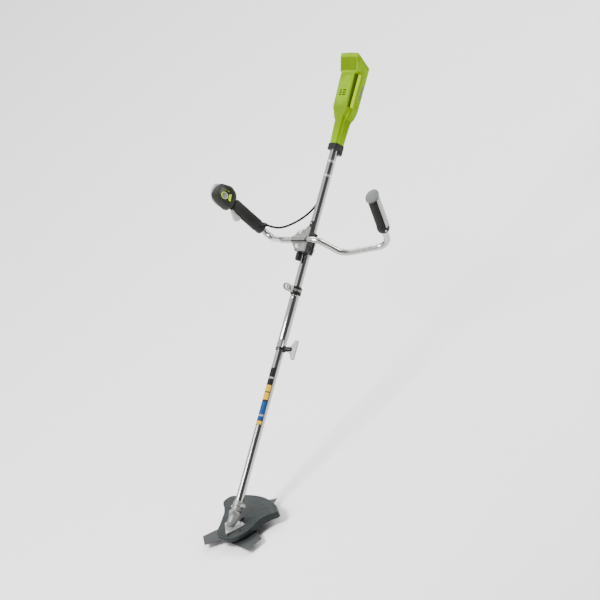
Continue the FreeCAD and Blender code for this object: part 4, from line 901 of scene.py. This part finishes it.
def make_throttle_head():
    """Control head: moulded body, framed gloss panel, ringed button, key and the lock-off lever behind."""
    body = stack(HEAD_OUTLINE, [(-18, 0.86), (-17.2, 0.91), (-15, 0.955), (-10, 0.98), (-1.2, 0.995),
                                (-0.8, 0.975), (0.4, 0.975), (0.8, 0.995), (11, 0.99), (14.5, 0.96),
                                (16, 0.9)], 11)
    add("head_body", body, CONTROLS, "handlebar", "head_plastic", 0.3, ["throttle_head"], 40)
    loops = []
    for level, scale, radius in ((15.2, 1.0, 10), (17.0, 0.975, 10), (17.4, 0.93, 9), (16.9, 0.87, 8),
                                 (15.2, 0.85, 8)):
        loops.append([(p[0], level, p[1]) for p in rounded(shrunk(FACE_OUTLINE, scale), radius, 8)])
    add("panel_frame", loft(loops, True), CONTROLS, "handlebar", "dark_metal", 0, [], 50)
    face = stack(FACE_OUTLINE, [(15.4, 0.86), (16.4, 0.86), (16.6, 0.84)], 8)
    button, key = (11.5, 164), (4.5, 146)
    panel = add("panel_face", face, CONTROLS, "handlebar", "gloss_panel", 0,
                ["control_panel"], 50)
    to_button = axis_to((0, 1, 0), (button[0], 0, button[1]))
    well = moved(peg(7.9, 10, 20, 40), to_button)
    way = Vector((0.94, -0.34)).normalized()
    across = Vector((way.y, -way.x))
    centre = Vector(key)
    key_side = [centre + way * 13 + across * 4, centre + way * 9 - across * 4, centre - way * 9 - across * 4,
                centre - way * 13 + across * 4]
    pocket = [centre + (p - centre) * 1.07 for p in key_side]
    carve(panel, (well, CONTROLS), (xz_plate(pocket, 12, 20), CONTROLS))
    add("key_cap", xz_plate(rounded(key_side, 1.2), 13.5, 19.0), CONTROLS, "mode_key", "bright_lime",
        0.7, ["mode_key"])

    for name, first, look in (("upper", 0, "bright_lime"), ("lower", math.pi, "light_plastic")):
        loops = []
        for k in range(25):
            a = first + (math.pi - 0.08) * k / 24 + 0.04 - math.radians(12)
            section = [(8.6, 16.2), (8.6, 17.6), (9.4, 18.2), (11.6, 18.2), (12.4, 17.4), (12.4, 16.2)]
            loops.append([(button[0] + r * math.cos(a), y, button[1] + r * math.sin(a)) for r, y in section])
        add("button_ring_" + name, loft(loops), CONTROLS, "handlebar", look, 0.2)
    cap = lathe([(0, 13.5), (7.5, 13.5), (7.5, 17.0), (7.0, 17.5), (5.2, 17.3), (4.6, 16.8), (0, 16.6)], 44)
    add("button_face", moved(cap, to_button), CONTROLS, "power_button", "nose_grey", 0,
        ["power_button"])
    sweep = [120 + 12.5 * k for k in range(25)]
    mark = [(button[0] + x, button[1] + z) for x, z in arc_points(3.4, sweep) + arc_points(2.5, sweep[::-1])]
    add("button_mark", xz_plate(mark, 16.4, 16.95), CONTROLS, "power_button", "light_plastic")
    lamps = [moved(lathe([(0, 15.8), (1.1, 15.8), (1.0, 16.9), (0, 17.1)], 16), axis_to((0, 1, 0), (x, 0, z)))
             for x, z in ((-8, 172), (-10.4, 166), (-12.4, 160))]
    add("panel_lamps", joined(*lamps), CONTROLS, "handlebar", "bright_lime")
    screws = [moved(cross_screw(2.6, 1.4), axis_to((0, -1, 0), (x, -17.6, z)))
              for x, z in ((-8, 150), (12, 150), (8, 180))]
    add("head_screws", joined(*screws), CONTROLS, "handlebar", "dark_steel")

    paddle = [(0, 200), (-34, 202), (-46, 180), (-27, 138), (24, 138), (28, 165), (24, 182)]
    lever = stack(paddle, [(-28.8, 0.84), (-28.2, 0.92), (-26.6, 0.985), (-25, 0.995), (-23.6, 0.96),
                           (-23.1, 0.9)], 12)
    add("lever_paddle", lever, CONTROLS, "lockout_lever", "light_plastic", 0.2,
        ["lockout_lever"], 45)
    knuckle = moved(peg(2.2, -8, 8, 24), axis_to((1, 0, 0), (0, -20.3, 140.2)))
    web = box((-8, -23.6, 138), (8, -20.3, 142.4))
    add("lever_knuckle", joined(knuckle, web), CONTROLS, "lockout_lever", "light_plastic",
        0.2)


def make_left_grip():
    """Left grip: ribbed rubber with a pale strip, its ferrule and an oval end cap."""
    body = lathe([(BAR_BORE, 14)] + grooved(14, 144, 19, 18, 140, 5.0, 0.8) + [(BAR_BORE, 144)], 64)
    add("left_grip_skin", body, LEFT_HAND, "handlebar", "rubber", 0, ["left_grip"], 50)
    loops = []
    for z, outer in ((14.6, 20.4), (16, 21.4), (18, 21.9), (80, 22), (140, 21.9), (143, 21.4), (144, 20.6)):
        arc = [math.radians(62 + 56 * k / 14) for k in range(15)]
        rim = [(outer - (0.5 if k in (4, 5, 9, 10) else 0)) for k in range(15)]
        loop = [(r * math.cos(a), r * math.sin(a), z) for r, a in zip(rim, arc)]
        loop += [(19.1 * math.cos(a), 19.1 * math.sin(a), z) for a in arc[::-1]]
        loops.append(loop)
    add("left_strip_body", loft(loops), LEFT_HAND, "handlebar", "pale_plastic", 0.3,
        ["left_grip_strip"])
    ferrule = lathe([(10.05, -10), (13.8, -10), (14.6, -9), (18.6, -5.2), (19.2, -4), (20.4, 1.2),
                     (20.4, 3.4), (19.8, 4), (19.8, 6.4), (20.4, 7), (20.4, 10), (19, 14), (10.05, 14)], 56)
    add("left_ferrule_body", ferrule, LEFT_HAND, "handlebar", "black_plastic", 0,
        ["left_ferrule"])

    def ovals(levels):
        """Loft over oval rings: levels of (z, scale)."""
        long_r, short_r, turns = 28.0, 20.5, [2 * math.pi * k / 56 for k in range(56)]
        return loft([[(factor * long_r * math.cos(a), factor * short_r * math.sin(a), z) for a in turns]
                     for z, factor in levels])

    rim = ovals([(144, 0.9), (144.4, 0.945), (146.6, 0.945), (147, 0.9)])
    add("left_rim_body", rim, LEFT_HAND, "handlebar", "rubber_black", 0,
        ["left_cap_rim"], 60)
    cap = ovals([(147, 0.93), (147.4, 0.985), (148.6, 1.0), (150.5, 0.995), (152.4, 0.96), (153.6, 0.89),
                 (153.9, 0.84), (153.4, 0.8), (153.3, 0.74), (153.8, 0.7), (154, 0.4), (154.0, 0.1)])
    add("left_cap_body", cap, LEFT_HAND, "handlebar", "nose_grey", 0,
        ["left_end_cap"], 50)
    screws = []
    for side in (-1, 1):
        way = Vector((side * 0.66, 0.75, 0)).normalized()
        screws.append(moved(cross_screw(2.9, 1.8), axis_to(way, way * 19.8 + Vector((0, 0, 5)))))
    add("grip_screw_heads", joined(*screws), LEFT_HAND, "handlebar", "zinc", 0,
        ["grip_screws"])


# ---- throttle cable: its route in the shaft frame, in millimetres ----
CABLE_DIAMETER = 0.007
CABLE_POINTS = [
    (-252, 35.6, 235),
    (-226, 39.5, 229),
    (-186, 38.5, 226),
    (-130, 35, 240),
    (-66, 26, 268),
    (-25, 15.5, 303),
    (-12.9, 11.2, 350),
    (-12.9, 11.2, 455),
]


def route_points():
    """The route's smooth line in the row frame: a NURBS spline with the route's points as controls."""
    curve = bpy.data.curves.new("route", "CURVE")
    curve.dimensions = "3D"
    curve.resolution_u = 24
    spline = curve.splines.new("NURBS")
    spline.points.add(len(CABLE_POINTS) - 1)
    for point, place in zip(spline.points, CABLE_POINTS):
        point.co = (*(SHAFT @ Vector(place) * MM), 1)
    spline.order_u = 3
    spline.use_endpoint_u = True
    holder = bpy.data.objects.new("route", curve)
    mesh = bpy.data.meshes.new_from_object(holder)
    points = [v.co.copy() for v in mesh.vertices]
    bpy.data.meshes.remove(mesh)
    bpy.data.objects.remove(holder)
    bpy.data.curves.remove(curve)
    return points


def make_cable():
    """Round sheath swept along the route, handed from the handlebar to the shaft, and its two clips."""
    points = route_points()
    radius, steps = CABLE_DIAMETER / 2, 20
    normal = Vector((0, 0, 1))
    loops = []
    for i, point in enumerate(points):
        way = (points[min(i + 1, len(points) - 1)] - points[max(i - 1, 0)]).normalized()
        normal = (normal - way * normal.dot(way)).normalized()
        side = way.cross(normal)
        loops.append([point + (normal * math.cos(a) + side * math.sin(a)) * radius
                      for a in (2 * math.pi * k / steps for k in range(steps))])
    verts, faces = loft(loops)
    mesh = bpy.data.meshes.new("cable_sheath")
    mesh.from_pydata(verts, [], faces)
    mesh.materials.append(MATERIALS["cable"])
    piece = bpy.data.objects.new("cable_sheath", mesh)
    bpy.context.scene.collection.objects.link(piece)
    soften(piece, 0, 60)
    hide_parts("throttle_cable")
    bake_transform(piece)
    clips = []
    for z in (378, 425):
        hoop = lathe([(TUBE_BORE, 0), (14.3, 0.6), (14.3, 6.4), (TUBE_BORE, 7)])
        small = lathe([(3.6, 0), (4.8, 0.6), (4.8, 6.4), (3.6, 7)], 28)
        clips.append(moved(hoop, shift((0, 0, z))))
        clips.append(moved(small, shift((*CABLE_SEAT[:2], z))))
    add("cable_clip_bands", joined(*clips), SHAFT, "frame", "zinc", 0, ["cable_clips"])


# ---- gear head ----
SHAFT_WAY = Vector((0, math.cos(RISE), math.sin(RISE)))
NOSE_WAY = Vector((0, -0.97, -0.243))
GUARD_BOLTS = [(-34, -18), (0, -57), (34, -18)]
GUARD_TOP = -20


def rod(radius, start, end, steps=40):
    """Plain round solid between two points."""
    start, end = Vector(start), Vector(end)
    return moved(peg(radius, 0, (end - start).length, steps), axis_to(end - start, start))


def remeshed(piece, voxel, smooth):
    """Melts a piece's overlapping solids into one skin with cast fillets."""
    melt = piece.modifiers.new("melt", "REMESH")
    melt.mode = "VOXEL"
    melt.voxel_size = voxel * MM
    relax = piece.modifiers.new("relax", "SMOOTH")
    relax.factor = 0.5
    relax.iterations = smooth
    bake(piece, 2)
    piece.data.shade_smooth()


def make_gear_case():
    """Slim cast case: neck with clamp ears, body round the gears, nose and a faceted skirt to the guard."""
    barrel = lathe([(0, -14), (18.8, -14), (19.3, 2), (17.6, 8), (14, 14.5), (11.2, 20), (10.2, 22.6),
                    (8.4, 24), (0, 24.3)])
    neck = rod(15.2, (0, 0, 0), SHAFT_WAY * 45)
    collar = rod(16.6, SHAFT_WAY * 30.6, SHAFT_WAY * 45.8)
    middle = rod(15.9, SHAFT_WAY * 14, SHAFT_WAY * 29.4)
    nose = moved(lathe([(0, -4), (18, -4), (16.5, 14), (13.6, 28), (12.8, 31), (0, 31)]), axis_to(NOSE_WAY))
    kite = [Vector(p) for p in ((-46, -17), (0, -67.5), (46, -17), (17, -3), (-17, -3))]
    loops = []
    for level, scale, back, radius in ((GUARD_TOP, 1, 0, 3.5), (GUARD_TOP + 2.4, 1, 0, 3.5),
                                       (-15.5, 0.62, -4, 5), (-8, 0.36, -3, 6)):
        loops.append([(*(p * scale + Vector((0, back))), level) for p in rounded(kite, radius)])
    skirt = loft(loops)
    clamp = SHAFT_WAY * 32
    side = Vector((1, 0, 0))
    ears = [rod(5.2, clamp - side * 23.6, clamp), rod(6.2, clamp, clamp + side * 27.6)]
    body = add("gear_case_body", joined(barrel, neck, collar, middle, nose, skirt, *ears), HEAD, "lower_unit",
               "cast_pale", 0, ["gearbox_case"])
    remeshed(body, 0.85, 5)
    seams = []
    for seam, core in ((13, 15.0), (29.6, 15.4)):
        hoop = lathe([(core, 0), (18.4, 0), (18.4, 1.1), (core, 1.1)], 56)
        seams.append((moved(hoop, axis_to(SHAFT_WAY, SHAFT_WAY * seam)), HEAD))
    bore = rod(TUBE_BORE, SHAFT_WAY * 28, SHAFT_WAY * 55, 48)
    wells = [(moved(peg(5.2, -15.6, 20, 28), shift((x, y, 0))), HEAD) for x, y in GUARD_BOLTS]
    carve(body, *seams, (bore, HEAD), *wells)
    soften(body, 0, 40)
    rings = []
    for seam in (12.6, 29.2):
        ring = lathe([(14.2, 0), (16.1, 0), (16.1, 1.5), (14.2, 1.5)], 56)
        rings.append(moved(ring, axis_to(SHAFT_WAY, SHAFT_WAY * seam)))
    add("gear_case_seams", joined(*rings), HEAD, "lower_unit", "dark_metal")
    cap = lathe([(0, 28), (11.9, 28), (12.6, 31), (12.4, 34), (11.4, 37), (9.2, 39.4), (8.8, 39.2),
                 (5.4, 40.9), (2.4, 41.6), (0, 41.7)])
    add("gear_nose_cap", moved(cap, axis_to(NOSE_WAY)), HEAD, "lower_unit", "nose_grey",
        0, ["gearbox_nose_cap"])
    heads = []
    for x, y in GUARD_BOLTS:
        heads.append(moved(bolt_head(4.4, 3.6), shift((x, y, -15.8))))
        heads.append(moved(peg(5, 0, 0.7, 28), shift((x, y, -16.3))))
    for reach, turn in ((-23.6, -1), (27.6, 1)):
        heads.append(moved(bolt_head(4.1, 2.7), axis_to((turn, 0, 0), clamp + side * reach)))
    add("gear_bolts", joined(*heads), HEAD, "lower_unit", "zinc", 0, ["gearbox_bolts"])


def arc_through(a, b, c, steps=14):
    """Points of the arc from a through b to c, without c."""
    a, b, c = Vector(a), Vector(b), Vector(c)
    d = 2 * (a.x * (b.y - c.y) + b.x * (c.y - a.y) + c.x * (a.y - b.y))
    x = (a.length_squared * (b.y - c.y) + b.length_squared * (c.y - a.y) + c.length_squared * (a.y - b.y)) / d
    y = (a.length_squared * (c.x - b.x) + b.length_squared * (a.x - c.x) + c.length_squared * (b.x - a.x)) / d
    centre = Vector((x, y))
    first, middle, last = (math.atan2(*(p - centre).yx) for p in (a, b, c))
    sweep = (last - first) % (2 * math.pi)
    if (middle - first) % (2 * math.pi) > sweep:
        sweep -= 2 * math.pi
    radius = (a - centre).length
    turns = [first + sweep * k / steps for k in range(steps)]
    return [centre + Vector((math.cos(t), math.sin(t))) * radius for t in turns]


def guard_outline():
    """Outline of the guard in the head's frame, the same arcs as the solid's."""
    ring_r, turn = 79, math.radians(15)
    right = Vector((-1 + ring_r * math.cos(turn), -ring_r * math.sin(turn)))
    left = Vector((-1 - ring_r * math.cos(turn), -ring_r * math.sin(turn)))
    outline = arc_through(left, (-1, -ring_r), right, 40)
    outline += arc_through(right, (92, 18), (119, 41))
    outline += arc_through((119, 41), (130, 47), (125, 58), 8)
    outline += [Vector((125, 58)), Vector((112, 70.5))]
    outline += arc_through((100, 82), (-10, 127), (-122, 127), 24)
    outline += arc_through((-122, 127), (-146, 112), (-138, 84), 12)
    outline += arc_through((-138, 84), (-94, 30), left)
    return outline


def reach_of(outline, turn):
    """Distance from the spindle to the outline in one direction."""
    way = Vector((math.cos(turn), math.sin(turn)))
    best = 0
    for a, b in zip(outline, outline[1:] + outline[:1]):
        edge = b - a
        across = way.x * edge.y - way.y * edge.x
        if abs(across) < 1e-9:
            continue
        along = (a.x * edge.y - a.y * edge.x) / across
        share = (a.x * way.y - a.y * way.x) / across
        if along > 0 and -1e-6 <= share <= 1 + 1e-6:
            best = max(best, along)
    return best


def smooth_step(value, low, high):
    """0 below low and 1 above high, with a soft change between."""
    t = max(0.0, min(1.0, (value - low) / (high - low)))
    return t * t * (3 - 2 * t)


def make_guard():
    """Moulded guard: raised rings in front of the spindle, a wide tail, rolled edge and hollow underside."""
    outline = guard_outline()
    count, hole, edge_r, low, wall = 288, 19.4, 5.5, -43, 3
    turns = [2 * math.pi * k / count for k in range(count)]
    reaches = [reach_of(outline, t) for t in turns]

    def fore(turn):
        """1 in front of the spindle, 0 behind it, with a soft change at the sides."""
        return smooth_step(-math.sin(turn), -0.35, 0.35)

    def height(radius, turn, reach):
        front = fore(turn)
        drop = 1.6 * smooth_step(radius, 49, 51.5) + 1.9 * smooth_step(radius, 58.5, 61)
        drop += 2.2 * smooth_step(radius, 67, 69.5)
        tail = (1 - front) * 1.6 * smooth_step(radius, reach - 22, reach - 17) * smooth_step(reach, 90, 110)
        return GUARD_TOP - 0.1 - front * drop - tail

    def loop(radius_of, height_of):
        return [(radius_of(r) * math.cos(t), radius_of(r) * math.sin(t), height_of(t, r))
                for t, r in zip(turns, reaches)]

    loops = []
    rows = 44
    for k in range(rows + 1):
        share = k / rows
        loops.append(loop(lambda r: hole + (r - edge_r - hole) * share,
                          lambda t, r: height(hole + (r - edge_r - hole) * share, t, r)))
    for k in range(1, 6):
        a = math.pi / 2 * k / 5
        loops.append(loop(lambda r: r - edge_r + edge_r * math.sin(a),
                          lambda t, r: height(r - edge_r, t, r) - edge_r * (1 - math.cos(a))))
    underside = [
        (lambda r: r - 0.2, lambda t, r: -36),
        (lambda r: r, lambda t, r: -38.5),
        (lambda r: r, lambda t, r: low + 0.6),
        (lambda r: r - 0.7, lambda t, r: low),
        (lambda r: r - wall, lambda t, r: low),
        (lambda r: r - wall - 0.3, lambda t, r: -33),
        (lambda r: r - wall - 4, lambda t, r: GUARD_TOP - 6.4 - 3.4 * fore(t)),
        (lambda r: hole + (r - hole) * 0.5, lambda t, r: GUARD_TOP - 4.6 - 2 * fore(t)),
        (lambda r: hole, lambda t, r: GUARD_TOP - 3.2),
    ]
    loops += [loop(radius_of, height_of) for radius_of, height_of in underside]
    add("guard_shell", loft(loops, True), HEAD, "lower_unit", "guard", 0, ["blade_guard"], 50)
    studs = []
    for x, y in ((-70, 62), (52, 60), (-30, 96), (-118, 108), (84, 52), (40, -42)):
        stud = lathe([(0, -22), (3.0, -22), (2.9, -19.9), (1.5, -19.4), (1.2, -20.6), (0, -20.8)], 20)
        studs.append(moved(stud, shift((x, y, -1.2 if y > 80 or x > 80 else 0.0))))
    add("guard_rivets", joined(*studs), HEAD, "lower_unit", "slot_shadow")


def label_look():
    """Plain vinyl label: black with yellow, blue and grey blocks, no lettering."""
    n = Nodes("label")
    low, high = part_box("label_strip")
    place = n.coordinates(shaft=True)
    split = n.add("ShaderNodeSeparateXYZ")
    n.link(place, split.inputs["Vector"])
    ends = sorted(Vector(corner).dot(SHAFT_WAY) for corner in ((0, low[1], low[2]), (0, high[1], high[2])))
    span = n.add("ShaderNodeMapRange", From_Min=ends[0], From_Max=ends[1])
    n.link(split.outputs["Z"], span.inputs["Value"])
    black, yellow, blue, grey = (0.004, 0.004, 0.004), (0.5, 0.3, 0.0), (0.0, 0.035, 0.14), (0.2, 0.22, 0.24)
    stops = [(0.0, black), (0.02, yellow), (0.08, black), (0.1, blue), (0.16, grey), (0.19, blue),
             (0.41, black), (0.44, yellow), (0.56, black), (0.58, yellow), (0.69, black), (0.8, grey),
             (0.83, black)]
    blocks = n.ramp(span.outputs["Result"], stops, constant=True)
    worn = n.mix(n.span(n.noise(n.coordinates(), 160, 5, 0.6), 0.0, 0.04), blocks, (0.2, 0.2, 0.2))
    n.bump(n.noise(n.coordinates(), 800, 2), 0.05, 0.05)
    return n.finish(worn, n.span(n.noise(n.coordinates(), 60, 4), 0.5, 0.62), Specular_IOR_Level=0.1)


# ---- the object ----
make_housing()
make_collar()
make_housing_screws()
make_harness()
make_coupler()
make_bracket()
make_throttle_grip()
make_throttle_head()
make_left_grip()
make_cable()
make_gear_case()
make_guard()
MATERIALS["label"] = label_look()
dress("label_strip", "label")


# ---- camera, light and floor ----
TARGET = Vector((0.0059, 0.0102, -0.0654))
RIGHT = Vector((0.6944, 0.5563, -0.4562))
UP = Vector((0.0040, 0.6310, 0.7756))
BACK = Vector((0.7195, -0.5404, 0.4360))
# The view is nearly parallel, so the camera stands far off behind a long lens.
DISTANCE, VIEW_WIDTH, SENSOR = 60.0, 1.857, 36.0

lens = bpy.data.cameras.new("camera")
lens.sensor_width = SENSOR
lens.lens = SENSOR * DISTANCE / VIEW_WIDTH
lens.clip_end = 200
camera = bpy.data.objects.new("camera", lens)
turned = Matrix((RIGHT, UP, BACK)).transposed().to_4x4()
camera.matrix_world = shift(TARGET + BACK * DISTANCE) @ turned
bpy.context.scene.collection.objects.link(camera)
bpy.context.scene.camera = camera


def area_light(name, place, size, power):
    """Round soft light, size metres wide, aimed at the middle of the view."""
    lamp = bpy.data.lights.new(name, "AREA")
    lamp.shape = "DISK"
    lamp.size = size
    lamp.energy = power
    holder = bpy.data.objects.new(name, lamp)
    holder.matrix_world = axis_to(Vector(place) - TARGET, Vector(place))
    bpy.context.scene.collection.objects.link(holder)


area_light("key", (-0.6, -2.4, 3.4), 1.8, 330)
area_light("fill", (2.4, 2.9, 2.2), 2.4, 190)
area_light("back", (-2.0, 2.6, 3.0), 2.2, 120)

# The white tent is greyer near the ground and has one dark flag overhead, which the tubes mirror as a streak.
FLAG_WAY = (0.72, -0.107, 0.686)
world = bpy.data.worlds.new("studio")
world.use_nodes = True
sky = world.node_tree


def sky_ramp(source, stops):
    """Grey of the tent from a value: two stops of (value, grey)."""
    ramp = sky.nodes.new("ShaderNodeValToRGB")
    for element, (place, grey) in zip(ramp.color_ramp.elements, stops):
        element.color = (grey, grey, grey, 1)
        element.position = place
    sky.links.new(source, ramp.inputs["Fac"])
    return ramp.outputs["Color"]


way = sky.nodes.new("ShaderNodeTexCoord").outputs["Generated"]
parts = sky.nodes.new("ShaderNodeSeparateXYZ")
sky.links.new(way, parts.inputs["Vector"])
flag_side = sky.nodes.new("ShaderNodeVectorMath")
flag_side.operation = "DOT_PRODUCT"
flag_side.inputs[1].default_value = FLAG_WAY
sky.links.new(way, flag_side.inputs[0])
product = sky.nodes.new("ShaderNodeMix")
product.data_type = "RGBA"
product.blend_type = "MULTIPLY"
product.inputs["Factor"].default_value = 1.0
sky.links.new(sky_ramp(parts.outputs["Z"], ((0.2, 0.4), (0.5, 1))), product.inputs["A"])
sky.links.new(sky_ramp(flag_side.outputs["Value"], ((0.76, 1), (0.83, 0.1))), product.inputs["B"])
sky.links.new(product.outputs["Result"], sky.nodes["Background"].inputs["Color"])
sky.nodes["Background"].inputs["Strength"].default_value = 1.75
bpy.context.scene.world = world

floor_level = cad_box[0][2] - 0.002
floor_mesh = bpy.data.meshes.new("floor")
FLOOR_HALF = 14.0
floor_corners = [(FLOOR_HALF * x, FLOOR_HALF * y, floor_level)
                 for x, y in ((-1, -1), (1, -1), (1, 1), (-1, 1))]
floor_mesh.from_pydata(floor_corners, [], [(0, 1, 2, 3)])
floor = bpy.data.objects.new("floor", floor_mesh)
paper = Nodes("paper")
paper.bump(paper.noise(paper.coordinates(), 300, 2), 0.02, 0.05)
paper.finish((0.8, 0.8, 0.8), 0.9)
floor_mesh.materials.append(paper.material)
bpy.context.scene.collection.objects.link(floor)
